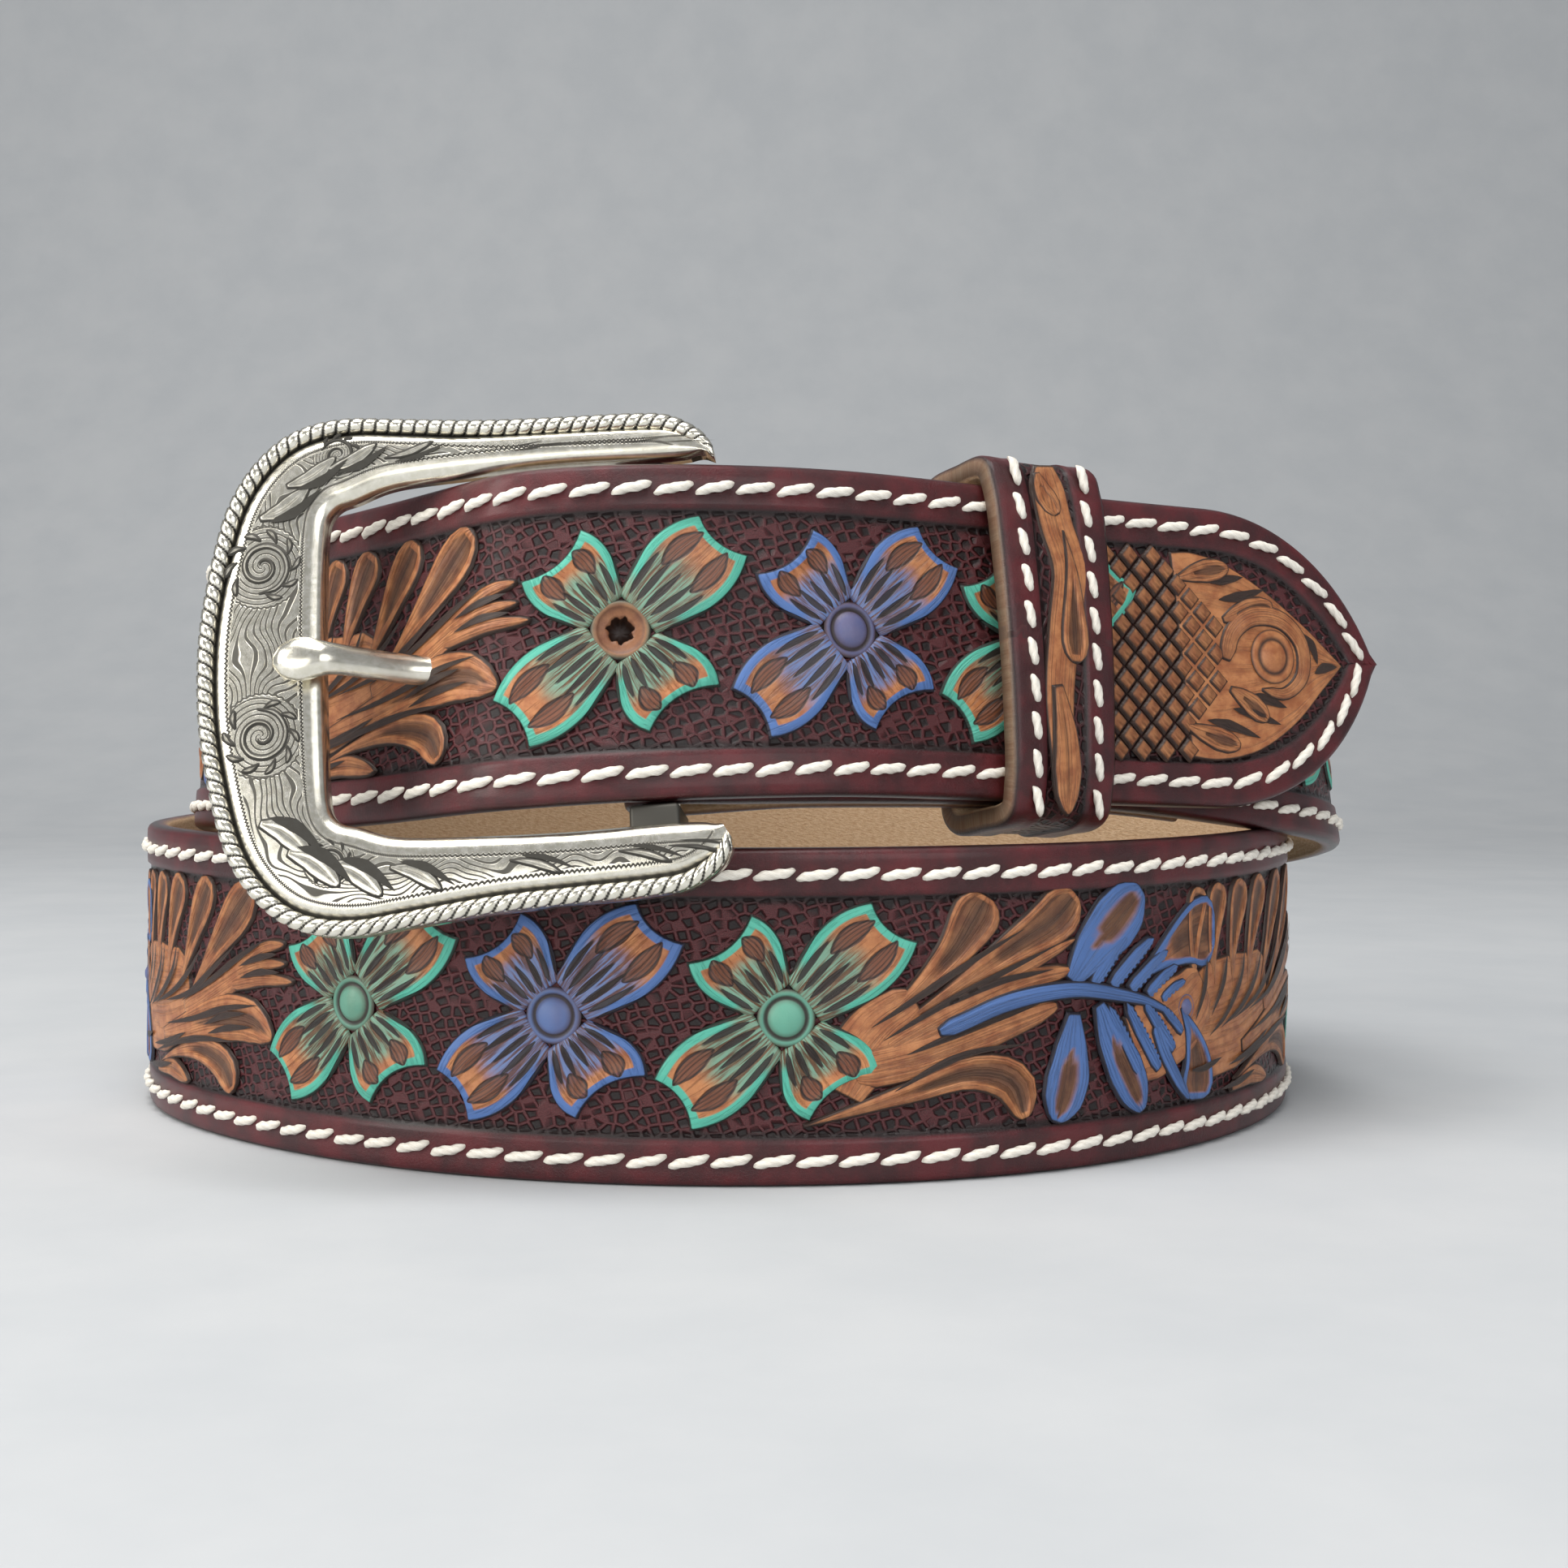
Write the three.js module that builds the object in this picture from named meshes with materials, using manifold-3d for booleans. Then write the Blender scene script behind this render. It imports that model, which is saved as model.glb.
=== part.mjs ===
// A western belt, fastened through its buckle and wound into a two-turn coil that stands on its lower edge.
// Lengths are in millimetres. +Z is up and the buckle faces -Y. The origin is below the middle of the
// belt's box, on the surface that it stands on.

import * as THREE from 'three';
import { mergeVertices } from 'three/addons/utils/BufferGeometryUtils.js';
import Module from 'manifold-3d';

const wasm = await Module();
wasm.setup();

// Strap
const strap_width = 38.1;
const strap_thickness = 3.0;
const fold_thickness = 2.0;
const edge_chamfer = 0.7;
const border_width = 5.4;
const panel_recess = 0.45;
const tip_length = 28;
const tip_blunt = 1.5;
const station_step = 5.0;

// Coil
const coil_radius = 80;
const layer_gap = 0.7;

// Buckle end
const fold_back_length = 75;
const fold_back_corner = 7;
const skive_length = 9;
const bar_radius = 2.0;
const bar_clearance = 0.35;
const slot_width = 6.4;
const slot_length = 12;

// Belt holes
const hole_count = 5;
const hole_pitch = 27;
const hole_radius = 2.1;
const buckled_hole = 1;
const prong_reach = 32;

// Keeper
const keeper_width = 15.5;
const keeper_wall = 2.8;
const keeper_clearance = 0.6;
const keeper_bow = 1.1;
const keeper_place = 47;

// Buckle
const buckle_length = 59.8;
const arm_reach = 11.05;
const buckle_depth = 3.6;
const buckle_bevel = 1.0;
const bar_setback = 7.4;
const lug_width = 5.6;
const lug_thickness = 3.1;
const lug_clearance = 0.8;
const frame_drop = 2.4;
const opening_drop = 1.2;
const rope_radius = 0.95;
const groove_width = 0.9;
const buckle_yaw = 5;

// Prong
const prong_radius = 1.75;
const prong_length = 41.4;
const prong_drop = 1.5;
const prong_hole_gap = 0.5;
const eye_wall = 1.5;
const eye_width = 5.2;

// Screws of the fold-back
const screw_place = 19;
const screw_spread = 19;
const screw_head_radius = 4.2;
const screw_head_height = 0.9;
const screw_post_radius = 2.0;
const screw_slack = 1.25;
const fit_gap = 0.3;

const degrees = Math.PI / 180;
const layer_pitch = strap_thickness + layer_gap;
const buckle_height = strap_width + 2 * arm_reach;

// The route of the strap's middle line, one row for each bend of the coil. turn: degrees round the coil
// from the front, towards +X. reach: distance of the outer face from the axis, as a share of coil_radius,
// before the layers. over: layers of strap that the row lies outside (or inside) that reach.
// lift: height of the lower edge, as a share of strap_width. lean: degrees that the upper edge leans out.
const route = [
  { turn: -9, reach: 0.807, over: 0, lift: 1.120, lean: -15 },
  { turn: 0, reach: 0.778, over: 0, lift: 1.124, lean: -14 },
  { turn: 9, reach: 0.744, over: 0, lift: 1.122, lean: -12.5 },
  { turn: 20, reach: 0.712, over: 0, lift: 1.116, lean: -11 },
  { turn: 33, reach: 0.701, over: 0, lift: 1.105, lean: -9.5 },
  { turn: 45, reach: 0.721, over: 0, lift: 1.088, lean: -8.5 },
  { turn: 56, reach: 0.778, over: 0, lift: 1.060, lean: -8 },
  { turn: 66, reach: 0.862, over: 0, lift: 1.010, lean: -8 },
  { turn: 76, reach: 0.952, over: 0, lift: 0.965, lean: -8 },
  { turn: 88, reach: 1.018, over: 0, lift: 0.900, lean: -8 },
  { turn: 103, reach: 1.028, over: 0, lift: 0.810, lean: -8 },
  { turn: 120, reach: 1.008, over: 0, lift: 0.710, lean: -7 },
  { turn: 150, reach: 0.985, over: 0, lift: 0.520, lean: -5 },
  { turn: 180, reach: 0.988, over: 0, lift: 0.340, lean: -3 },
  { turn: 210, reach: 1.020, over: 0, lift: 0.180, lean: -1 },
  { turn: 235, reach: 1.060, over: 0, lift: 0.060, lean: 0 },
  { turn: 255, reach: 1.105, over: 0, lift: 0, lean: 0 },
  { turn: 275, reach: 1.092, over: 0, lift: 0, lean: 0 },
  { turn: 295, reach: 1.016, over: 0, lift: 0, lean: 0 },
  { turn: 327, reach: 0.936, over: 0, lift: 0, lean: 0 },
  { turn: 360, reach: 0.892, over: 0, lift: 0, lean: 0 },
  { turn: 393, reach: 0.920, over: 0, lift: 0, lean: 0 },
  { turn: 425, reach: 0.937, over: 0, lift: 0, lean: 0 },
  { turn: 450, reach: 0.965, over: 0, lift: 0, lean: 0 },
  { turn: 470, reach: 0.968, over: 0, lift: 0.020, lean: 0 },
  { turn: 495, reach: 0.967, over: -1, lift: 0.110, lean: 0 },
  { turn: 520, reach: 0.965, over: -1, lift: 0.240, lean: 0 },
  { turn: 545, reach: 0.970, over: -1, lift: 0.400, lean: 0 },
  { turn: 570, reach: 0.990, over: -1, lift: 0.560, lean: -1 },
  { turn: 595, reach: 1.020, over: -1, lift: 0.740, lean: -2 },
  { turn: 615, reach: 1.040, over: -1, lift: 0.880, lean: -3 },
  { turn: 632, reach: 1.035, over: -1, lift: 0.970, lean: -4 },
  { turn: 648, reach: 0.988, over: -1, lift: 1.000, lean: -5 },
  { turn: 662, reach: 0.884, over: 0, lift: 1.010, lean: -6 },
  { turn: 673, reach: 0.878, over: 0, lift: 1.030, lean: -7 },
  { turn: 682, reach: 0.876, over: 0, lift: 1.055, lean: -7 },
  { turn: 690, reach: 0.893, over: 0, lift: 1.085, lean: -7 },
  { turn: 697, reach: 0.928, over: 0, lift: 1.110, lean: -8 },
  { turn: 704, reach: 0.912, over: 0, lift: 1.130, lean: -9.5 },
  { turn: 713, reach: 0.828, over: 1, lift: 1.145, lean: -10.5 },
  { turn: 729, reach: 0.746, over: 1, lift: 1.150, lean: -10.5 },
  { turn: 740, reach: 0.713, over: 1, lift: 1.135, lean: -10 },
  { turn: 753, reach: 0.702, over: 1, lift: 1.118, lean: -9 },
  { turn: 765, reach: 0.725, over: 1, lift: 1.101, lean: -8.5 },
  { turn: 776, reach: 0.800, over: 1, lift: 1.085, lean: -8 },
  { turn: 786, reach: 0.910, over: 1, lift: 1.072, lean: -8 },
  { turn: 794, reach: 1.020, over: 1, lift: 1.062, lean: -8 },
];

const row_point = (row) => {
  const radius = row.reach * coil_radius + row.over * layer_pitch;
  const turn = row.turn * degrees;
  return [
    radius * Math.sin(turn),
    -radius * Math.cos(turn),
    row.lift * strap_width + strap_width / 2,
    row.lean * degrees,
  ];
};

// Uniform cubic B-spline through the rows: smooth in curvature, and flat where the rows are flat.
const rows = route.map(row_point);
const beyond = (a, b) => a.map((value, i) => 2 * value - b[i]);
const knots = [beyond(rows[0], rows[1]), ...rows, beyond(rows.at(-1), rows.at(-2))];

function spline(position) {
  const span = Math.min(Math.floor(position), rows.length - 2);
  const t = position - span;
  const weights = [(1 - t) ** 3, 3 * t ** 3 - 6 * t ** 2 + 4, -3 * t ** 3 + 3 * t ** 2 + 3 * t + 1, t ** 3];
  return rows[0].map((_, i) => weights.reduce((sum, w, k) => sum + w * knots[span + k][i], 0) / 6);
}

const samples_per_row = 16;
const samples = [];
for (let i = 0; i <= (rows.length - 1) * samples_per_row; i++) {
  const [x, y, z, lean] = spline(i / samples_per_row);
  const last = samples.at(-1);
  const length = last ? last.length + Math.hypot(x - last.x, y - last.y, z - last.z) : 0;
  samples.push({ x, y, z, lean, length });
}
const route_length = samples.at(-1).length;

// The route at a length along the strap, carried on straight beyond its ends.
function route_at(length) {
  const found = samples.findIndex((sample) => sample.length > length);
  const after = found < 0 ? samples.length - 1 : Math.max(found, 1);
  const [a, b] = [samples[after - 1], samples[after]];
  const share = (length - a.length) / (b.length - a.length);
  const mix = (key) => a[key] + (b[key] - a[key]) * share;
  return { point: new THREE.Vector3(mix('x'), mix('y'), mix('z')), lean: mix('lean') };
}

// Directions at a length: along the strap, across it towards the upper edge, and out of its grain face.
function axes_at(length) {
  const { point, lean } = route_at(length);
  const along = route_at(length + 1).point.sub(route_at(length - 1).point).normalize();
  const level_out = new THREE.Vector3(along.y, -along.x, 0).normalize();
  const rise = new THREE.Vector3(0, 0, Math.cos(lean)).addScaledVector(level_out, Math.sin(lean));
  const out = new THREE.Vector3().crossVectors(along, rise).normalize();
  const across = new THREE.Vector3().crossVectors(out, along);
  return { point, along, across, out };
}

// A point of the strap: length along it, height above its middle line, depth below its grain face.
function place(length, height, depth) {
  const { point, across, out } = axes_at(length);
  return point.addScaledVector(across, height).addScaledVector(out, -depth);
}

// Closed skin over a row of rings with equal numbers of points. A loop of rings has no ends.
function skin(rings, looped, outline) {
  const count = rings[0].length;
  const positions = rings.flat().flatMap((point) => point.toArray());
  const indices = [];
  const bands = looped ? rings.length : rings.length - 1;
  for (let i = 0; i < bands; i++) {
    const here = i * count;
    const next = ((i + 1) % rings.length) * count;
    for (let j = 0; j < count; j++) {
      const k = (j + 1) % count;
      indices.push(here + j, next + j, next + k, here + j, next + k, here + k);
    }
  }
  if (!looped) {
    const end = (rings.length - 1) * count;
    const reversed = THREE.ShapeUtils.isClockWise(outline);
    for (const face of THREE.ShapeUtils.triangulateShape(outline, [])) {
      const [a, b, c] = reversed ? face.reverse() : face;
      indices.push(a, b, c, end + a, end + c, end + b);
    }
  }
  const geometry = new THREE.BufferGeometry();
  geometry.setAttribute('position', new THREE.Float32BufferAttribute(positions, 3));
  geometry.setIndex(indices);
  return geometry;
}

function solid_of(geometry) {
  const bare = geometry.clone();
  bare.deleteAttribute('normal');
  bare.deleteAttribute('uv');
  const merged = mergeVertices(bare, 1e-4);
  const corners = merged.index.array;
  const faces = [];
  const mirrored = [];
  for (let i = 0; i < corners.length; i += 3) {
    const [a, b, c] = corners.slice(i, i + 3);
    if (a === b || b === c || c === a) continue;
    faces.push(a, b, c);
    mirrored.push(b, a, c);
  }
  const vertProperties = new Float32Array(merged.attributes.position.array);
  const build = (list) => new wasm.Manifold(new wasm.Mesh({
    numProp: 3,
    vertProperties,
    triVerts: new Uint32Array(list),
  }));
  const solid = build(faces);
  return solid.volume() > 0 ? solid : build(mirrored);
}

function geometry_of(solid) {
  const mesh = solid.getMesh();
  const geometry = new THREE.BufferGeometry();
  geometry.setAttribute('position', new THREE.BufferAttribute(mesh.vertProperties, 3));
  geometry.setIndex(new THREE.BufferAttribute(mesh.triVerts, 1));
  return geometry;
}

const ease = (value) => {
  const t = Math.min(Math.max(value, 0), 1);
  return t * t * (3 - 2 * t);
};

// Half the strap's width at a distance from the tip: two arcs that meet in a point.
const tip_arc = (tip_length ** 2 + (strap_width / 2) ** 2) / strap_width;
function half_width(from_tip) {
  if (from_tip >= tip_length) return strap_width / 2;
  const run = tip_length - from_tip;
  return Math.sqrt(tip_arc ** 2 - run ** 2) - (tip_arc - strap_width / 2);
}

// Section of the strap as [depth, height] pairs: raised borders, a sunk panel and chamfered edges.
function strap_section(half, thick, recess) {
  const edge = Math.min(edge_chamfer, half * 0.4, thick * 0.4);
  const border = Math.min(border_width, half * 0.6);
  const sunk = Math.max(0.03, recess * Math.min(1, (half - border) / border_width));
  const side = [[0, half - edge], [edge, half], [thick - edge, half], [thick, half - edge]];
  const panel = [[sunk, half - border - sunk], [0, half - border]];
  const mirror = (pairs) => pairs.map(([depth, height]) => [depth, -height]).reverse();
  return [...panel, ...side, ...mirror(side), ...mirror(panel)];
}

// Rows of the strap from the end of the fold-back, round the heel bar, to the tip. length and depth: where
// the grain face lies. turned: degrees that the thickness has turned round the bar.
const bar_depth = fold_thickness + bar_clearance + bar_radius;
const fold_radius = bar_depth;
const fold_rows = [];
const fold_steps = 10;
const bend_steps = 8;
for (let i = 0; i <= fold_steps; i++) {
  const length = fold_back_length * (1 - i / fold_steps);
  const flat = strap_thickness + fit_gap + fold_thickness;
  const depth = flat + (2 * bar_depth - flat) * (1 - ease(length / (2 * skive_length)));
  const from_end = Math.max(fold_back_length - length, 0.01);
  const half = strap_width / 2 - Math.max(fold_back_corner * (1 - from_end / fold_back_corner), 0) / 2;
  fold_rows.push({ length, depth, turned: 180, half, thick: fold_thickness, recess: 0 });
}
for (let i = 1; i < bend_steps; i++) {
  const turned = 180 * (1 - i / bend_steps);
  const length = -fold_radius * Math.sin(turned * degrees);
  const depth = bar_depth - fold_radius * Math.cos(turned * degrees);
  fold_rows.push({ length, depth, turned, half: strap_width / 2, thick: fold_thickness, recess: 0 });
}
const strap_length = route_length;
const tip_start = strap_length - tip_length;
const straight_count = Math.round(tip_start / station_step);
for (let i = 0; i <= straight_count; i++) {
  const length = tip_start * i / straight_count;
  const thick = fold_thickness + (strap_thickness - fold_thickness) * ease(length / skive_length);
  const recess = panel_recess * ease((length - skive_length) / skive_length);
  fold_rows.push({ length, depth: 0, turned: 0, half: strap_width / 2, thick, recess });
}
const tip_steps = 9;
for (let i = 1; i <= tip_steps; i++) {
  const from_tip = tip_blunt / 3 + (tip_length - tip_blunt / 3) * (1 - i / tip_steps) ** 1.25;
  const half = half_width(from_tip);
  fold_rows.push({
    length: strap_length - from_tip,
    depth: 0,
    turned: 0,
    half,
    thick: strap_thickness,
    recess: panel_recess,
  });
}

function strap_ring(row) {
  const turned = row.turned * degrees;
  return strap_section(row.half, row.thick, row.recess).map(([depth, height]) => place(
    row.length + depth * Math.sin(turned),
    height,
    row.depth + depth * Math.cos(turned),
  ));
}

// A round cutter or post through the strap, between two depths.
function round_through(length, height, top_depth, low_depth, radius) {
  const { along, across, out } = axes_at(length);
  const geometry = new THREE.CylinderGeometry(radius, radius, low_depth - top_depth, 16);
  const turn = new THREE.Matrix4().makeBasis(across, out, along);
  turn.setPosition(place(length, height, (top_depth + low_depth) / 2));
  return solid_of(geometry.applyMatrix4(turn));
}

// Length along the strap of the tip layer that covers a given length of the buckle-end layer.
function covering_length(length) {
  const target = place(length, 0, 0);
  let best = route_length;
  let nearest = Infinity;
  for (let l = route_length / 2; l <= route_length; l += 0.25) {
    const distance = route_at(l).point.distanceTo(target);
    if (distance < nearest) [nearest, best] = [distance, l];
  }
  return best;
}

// Depth of that layer's grain face above the grain face that it covers.
function cover_height(length) {
  const { point, out } = axes_at(length);
  return route_at(covering_length(length)).point.sub(point).dot(out);
}

// Buckle: its own frame has x from the closed end towards the heel bar, y up along the bar and z out,
// and starts at the middle of the heel bar.
const bar_middle = place(0, 0, bar_depth);
const bar_up = axes_at(0).across;
const level_right = new THREE.Vector3(Math.cos(buckle_yaw * degrees), -Math.sin(buckle_yaw * degrees), 0);
const buckle_right = level_right.addScaledVector(bar_up, -level_right.dot(bar_up)).normalize();
const buckle_out = new THREE.Vector3().crossVectors(buckle_right, bar_up);
const buckle_turn = new THREE.Matrix4().makeBasis(buckle_right, bar_up, buckle_out);
buckle_turn.setPosition(bar_middle);

// Half of the frame, from an arm's end to the middle of the closed end: a row for each section across its
// rim. along: shares of buckle_length from the heel bar. rise: shares of buckle_height from the middle.
const frame_rows = [
  { outer_along: -0.143, outer_rise: 0.368, inner_along: -0.125, inner_rise: 0.357 },
  { outer_along: -0.140, outer_rise: 0.390, inner_along: -0.110, inner_rise: 0.356 },
  { outer_along: -0.115, outer_rise: 0.423, inner_along: -0.090, inner_rise: 0.352 },
  { outer_along: -0.060, outer_rise: 0.454, inner_along: -0.050, inner_rise: 0.350 },
  { outer_along: 0.010, outer_rise: 0.463, inner_along: 0.010, inner_rise: 0.350 },
  { outer_along: 0.150, outer_rise: 0.468, inner_along: 0.140, inner_rise: 0.353 },
  { outer_along: 0.301, outer_rise: 0.475, inner_along: 0.280, inner_rise: 0.351 },
  { outer_along: 0.473, outer_rise: 0.492, inner_along: 0.420, inner_rise: 0.346 },
  { outer_along: 0.560, outer_rise: 0.500, inner_along: 0.490, inner_rise: 0.338 },
  { outer_along: 0.635, outer_rise: 0.492, inner_along: 0.548, inner_rise: 0.318 },
  { outer_along: 0.700, outer_rise: 0.463, inner_along: 0.582, inner_rise: 0.308 },
  { outer_along: 0.759, outer_rise: 0.405, inner_along: 0.602, inner_rise: 0.285 },
  { outer_along: 0.802, outer_rise: 0.326, inner_along: 0.609, inner_rise: 0.245 },
  { outer_along: 0.833, outer_rise: 0.208, inner_along: 0.612, inner_rise: 0.165 },
  { outer_along: 0.853, outer_rise: 0.075, inner_along: 0.614, inner_rise: 0.060 },
];
const mirrored_rows = (edge, drop) => [1, -1].map((side) => frame_rows.map((row) => new THREE.Vector3(
  -row[`${edge}_along`] * buckle_length,
  side * row[`${edge}_rise`] * buckle_height - drop,
  bar_setback,
)));
const edge_curve = (edge, drop) => {
  const [upper, lower] = mirrored_rows(edge, drop);
  return new THREE.CatmullRomCurve3([...upper, ...lower.reverse()], false, 'catmullrom', 0.5);
};

const steps_per_row = 3;
const bead_sides = 8;

// Section of the rim as [distance from the outer edge, height above its middle plane]: the rope bead, the
// groove inside it, the face, the inner bevel and the flat back.
function rim_section(width) {
  const high = buckle_depth / 2;
  const fit = Math.min(1, width / (4 * rope_radius));
  const bead = [4, 3, 2, 1].map((side) => {
    const angle = 2 * Math.PI * side / bead_sides;
    return [fit * rope_radius * (1 + Math.cos(angle)), high - rope_radius + rope_radius * Math.sin(angle)];
  });
  const groove = fit * (2 * rope_radius + groove_width / 2);
  const face = fit * (2 * rope_radius + groove_width);
  const bevel = fit * buckle_bevel;
  return [
    [0, -high],
    ...bead,
    [groove, high - rope_radius],
    [face, high - rope_radius / 2],
    [width - bevel, high - rope_radius / 2],
    [width, high - rope_radius / 2 - buckle_bevel],
    [width, -high],
  ];
}

// The frame: its rim, and behind its arms two lugs that hold the heel bar.
function buckle_frame_solid() {
  const outer_edge = edge_curve('outer', frame_drop);
  const inner_edge = edge_curve('inner', opening_drop);
  const steps = steps_per_row * (2 * frame_rows.length - 1);
  const rings = [];
  for (let i = 0; i <= steps; i++) {
    const outer_point = outer_edge.getPoint(i / steps);
    const across = inner_edge.getPoint(i / steps).sub(outer_point);
    const width = across.length();
    rings.push(rim_section(width).map(([distance, height]) => (
      outer_point.clone().addScaledVector(across, distance / width).add(new THREE.Vector3(0, 0, height))
    )));
  }
  const cap = rim_section(3 * rope_radius).map(([distance, height]) => new THREE.Vector2(distance, height));
  const lug_inside = strap_width / 2 + lug_clearance;
  const bar = new THREE.CylinderGeometry(bar_radius, bar_radius, 2 * lug_inside + lug_thickness, 16);
  const lug_depth = bar_setback + bar_radius / 2;
  let solid = solid_of(skin(rings, false, cap)).add(solid_of(bar));
  for (const side of [1, -1]) {
    const lug = new THREE.BoxGeometry(lug_width, lug_thickness, lug_depth);
    lug.translate(0, side * (lug_inside + lug_thickness / 2), (bar_setback - bar_radius / 2) / 2);
    solid = solid.add(solid_of(lug));
  }
  return solid;
}

// Prong: an eye round the heel bar and a shank that runs behind the strap, through it and over the frame.
const eye_radius = bar_radius + bar_clearance + eye_wall;
const prong_rows = [
  { along: 0.070, out: 0.00, drop: 0.00, wide: 0.80, high: 0.80 },
  { along: 0.300, out: 0.05, drop: 0.45, wide: 0.95, high: 0.95 },
  { along: 0.500, out: 0.15, drop: 0.80, wide: 1.00, high: 0.95 },
  { along: 0.640, out: 0.42, drop: 1.00, wide: 1.00, high: 0.92 },
  { along: 0.760, out: 0.98, drop: 1.00, wide: 1.00, high: 0.92 },
  { along: 0.840, out: 1.40, drop: 1.00, wide: 1.05, high: 0.85 },
  { along: 0.880, out: 1.50, drop: 1.00, wide: 1.25, high: 0.80 },
  { along: 0.930, out: 1.52, drop: 1.00, wide: 1.45, high: 0.75 },
  { along: 0.975, out: 1.50, drop: 1.00, wide: 1.10, high: 0.65 },
  { along: 1.000, out: 1.48, drop: 1.00, wide: 0.45, high: 0.35 },
];

function prong_solid(spare) {
  const sides = 10;
  const flat = [];
  const rings = prong_rows.map((row) => {
    const ring = [];
    for (let j = 0; j < sides; j++) {
      const angle = 2 * Math.PI * j / sides;
      const y = (row.wide * prong_radius + spare) * Math.cos(angle) - row.drop * prong_drop;
      const z = row.out * bar_setback + (row.high * prong_radius + spare) * Math.sin(angle);
      ring.push(new THREE.Vector3(-row.along * prong_length, y, z));
      if (flat.length < sides) flat.push(new THREE.Vector2(Math.cos(angle), Math.sin(angle)));
    }
    return ring;
  });
  return solid_of(skin(rings, false, flat));
}

function eye_solid(inner, outer, width) {
  const steps = 20;
  const profile = [[inner, -0.5], [inner, 0.5], [outer, 0.5], [outer, -0.5]];
  const rings = [];
  for (let i = 0; i < steps; i++) {
    const angle = 2 * Math.PI * i / steps;
    rings.push(profile.map(([r, y]) => new THREE.Vector3(r * Math.cos(angle), y * width, r * Math.sin(angle))));
  }
  return solid_of(skin(rings, true));
}

const in_buckle = (solid) => solid_of(geometry_of(solid).applyMatrix4(buckle_turn));
const bar_bore = new THREE.CylinderGeometry(
  bar_radius + bar_clearance,
  bar_radius + bar_clearance,
  2 * eye_width,
  20,
);
const prong = in_buckle(
  eye_solid(bar_radius + bar_clearance, eye_radius, eye_width)
    .add(prong_solid(0))
    .subtract(solid_of(bar_bore)),
);
const frame = in_buckle(buckle_frame_solid());

// Strap with its slot, holes and screw seats.
const section_outline = strap_section(strap_width / 2, strap_thickness, panel_recess)
  .map(([depth, height]) => new THREE.Vector2(depth, height));
let strap = solid_of(skin(fold_rows.map(strap_ring), false, section_outline));

const slot_rings = [];
for (let i = 0; i <= 8; i++) {
  const length = -2 * fold_radius + (slot_length + 2 * fold_radius) * i / 8;
  const half = slot_width / 2 * (i === 8 ? 0.6 : 1);
  slot_rings.push([[-fit_gap, half], [4 * bar_depth, half], [4 * bar_depth, -half], [-fit_gap, -half]]
    .map(([depth, height]) => place(length, height, depth)));
}
const slot_outline = [[0, 1], [1, 1], [1, -1], [0, -1]].map(([x, y]) => new THREE.Vector2(x, y));
strap = strap.subtract(solid_of(skin(slot_rings, false, slot_outline)));

const buckled_length = covering_length(0) - prong_reach;
for (let i = 0; i < hole_count; i++) {
  const length = buckled_length + (buckled_hole - i) * hole_pitch;
  strap = strap.subtract(round_through(length, 0, -fit_gap, strap_thickness + fit_gap, hole_radius));
}
strap = strap.subtract(in_buckle(prong_solid(prong_hole_gap)));

// Screw: two flat heads on one post, its front head let into the strap.
const grip = strap_thickness + fit_gap + fold_thickness;
function screw_solid(height) {
  const { along, across, out } = axes_at(screw_place);
  const top = 0;
  const under_top = -screw_head_height;
  const under_low = -(grip + screw_slack);
  const low = under_low - screw_head_height;
  const profile = [
    [0, low],
    [screw_head_radius, low],
    [screw_head_radius, under_low],
    [screw_post_radius, under_low],
    [screw_post_radius, under_top],
    [screw_head_radius, under_top],
    [screw_head_radius, top],
    [0, top],
  ].map(([r, y]) => new THREE.Vector2(r, y));
  const geometry = new THREE.LatheGeometry(profile, 20);
  const turn = new THREE.Matrix4().makeBasis(across, out, along);
  turn.setPosition(place(screw_place, height, 0));
  return solid_of(geometry.applyMatrix4(turn));
}
const screw_heights = { upper: screw_spread / 2, lower: -screw_spread / 2 };
for (const height of Object.values(screw_heights)) {
  const post = screw_post_radius + fit_gap;
  const seat = screw_head_radius + fit_gap;
  strap = strap.subtract(round_through(screw_place, height, -fit_gap, grip + 2 * fit_gap, post));
  strap = strap.subtract(round_through(screw_place, height, -fit_gap, screw_head_height + fit_gap, seat));
}

// Keeper: a leather loop round the tip, the buckle end and the fold-back.
function keeper_solid() {
  const inside = strap_width / 2 + keeper_clearance;
  const outside = inside + keeper_wall;
  const low = keeper_place - keeper_width / 2;
  const high = keeper_place + keeper_width / 2;
  const front = -(Math.max(cover_height(low), cover_height(high)) + keeper_clearance);
  const back = grip + keeper_clearance;
  const corner = keeper_wall * 1.2;
  const loop = (half, near, far, bow, round) => [
    [near + round, half],
    [near + round * 0.3, half - round * 0.3],
    [near, half - round],
    [near - bow * 0.8, half * 0.4],
    [near - bow, 0],
    [near - bow * 0.8, -half * 0.4],
    [near, -half + round],
    [near + round * 0.3, -half + round * 0.3],
    [near + round, -half],
    [far - round, -half],
    [far, -half + round],
    [far, half - round],
    [far - round, half],
  ];
  const wall = (points, low, high) => [low, high].map((length) => (
    points.map(([depth, height]) => place(length, height, depth))
  ));
  const ring_solid = (points, low, high) => {
    const outline = points.map(([depth, height]) => new THREE.Vector2(depth, height));
    return solid_of(skin(wall(points, low, high), false, outline));
  };
  const outer = ring_solid(loop(outside, front - keeper_wall, back + keeper_wall, keeper_bow, corner), low, high);
  const inner = ring_solid(loop(inside, front, back, keeper_bow, corner * 0.15), low - 1, high + 1);
  return outer.subtract(inner);
}

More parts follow.
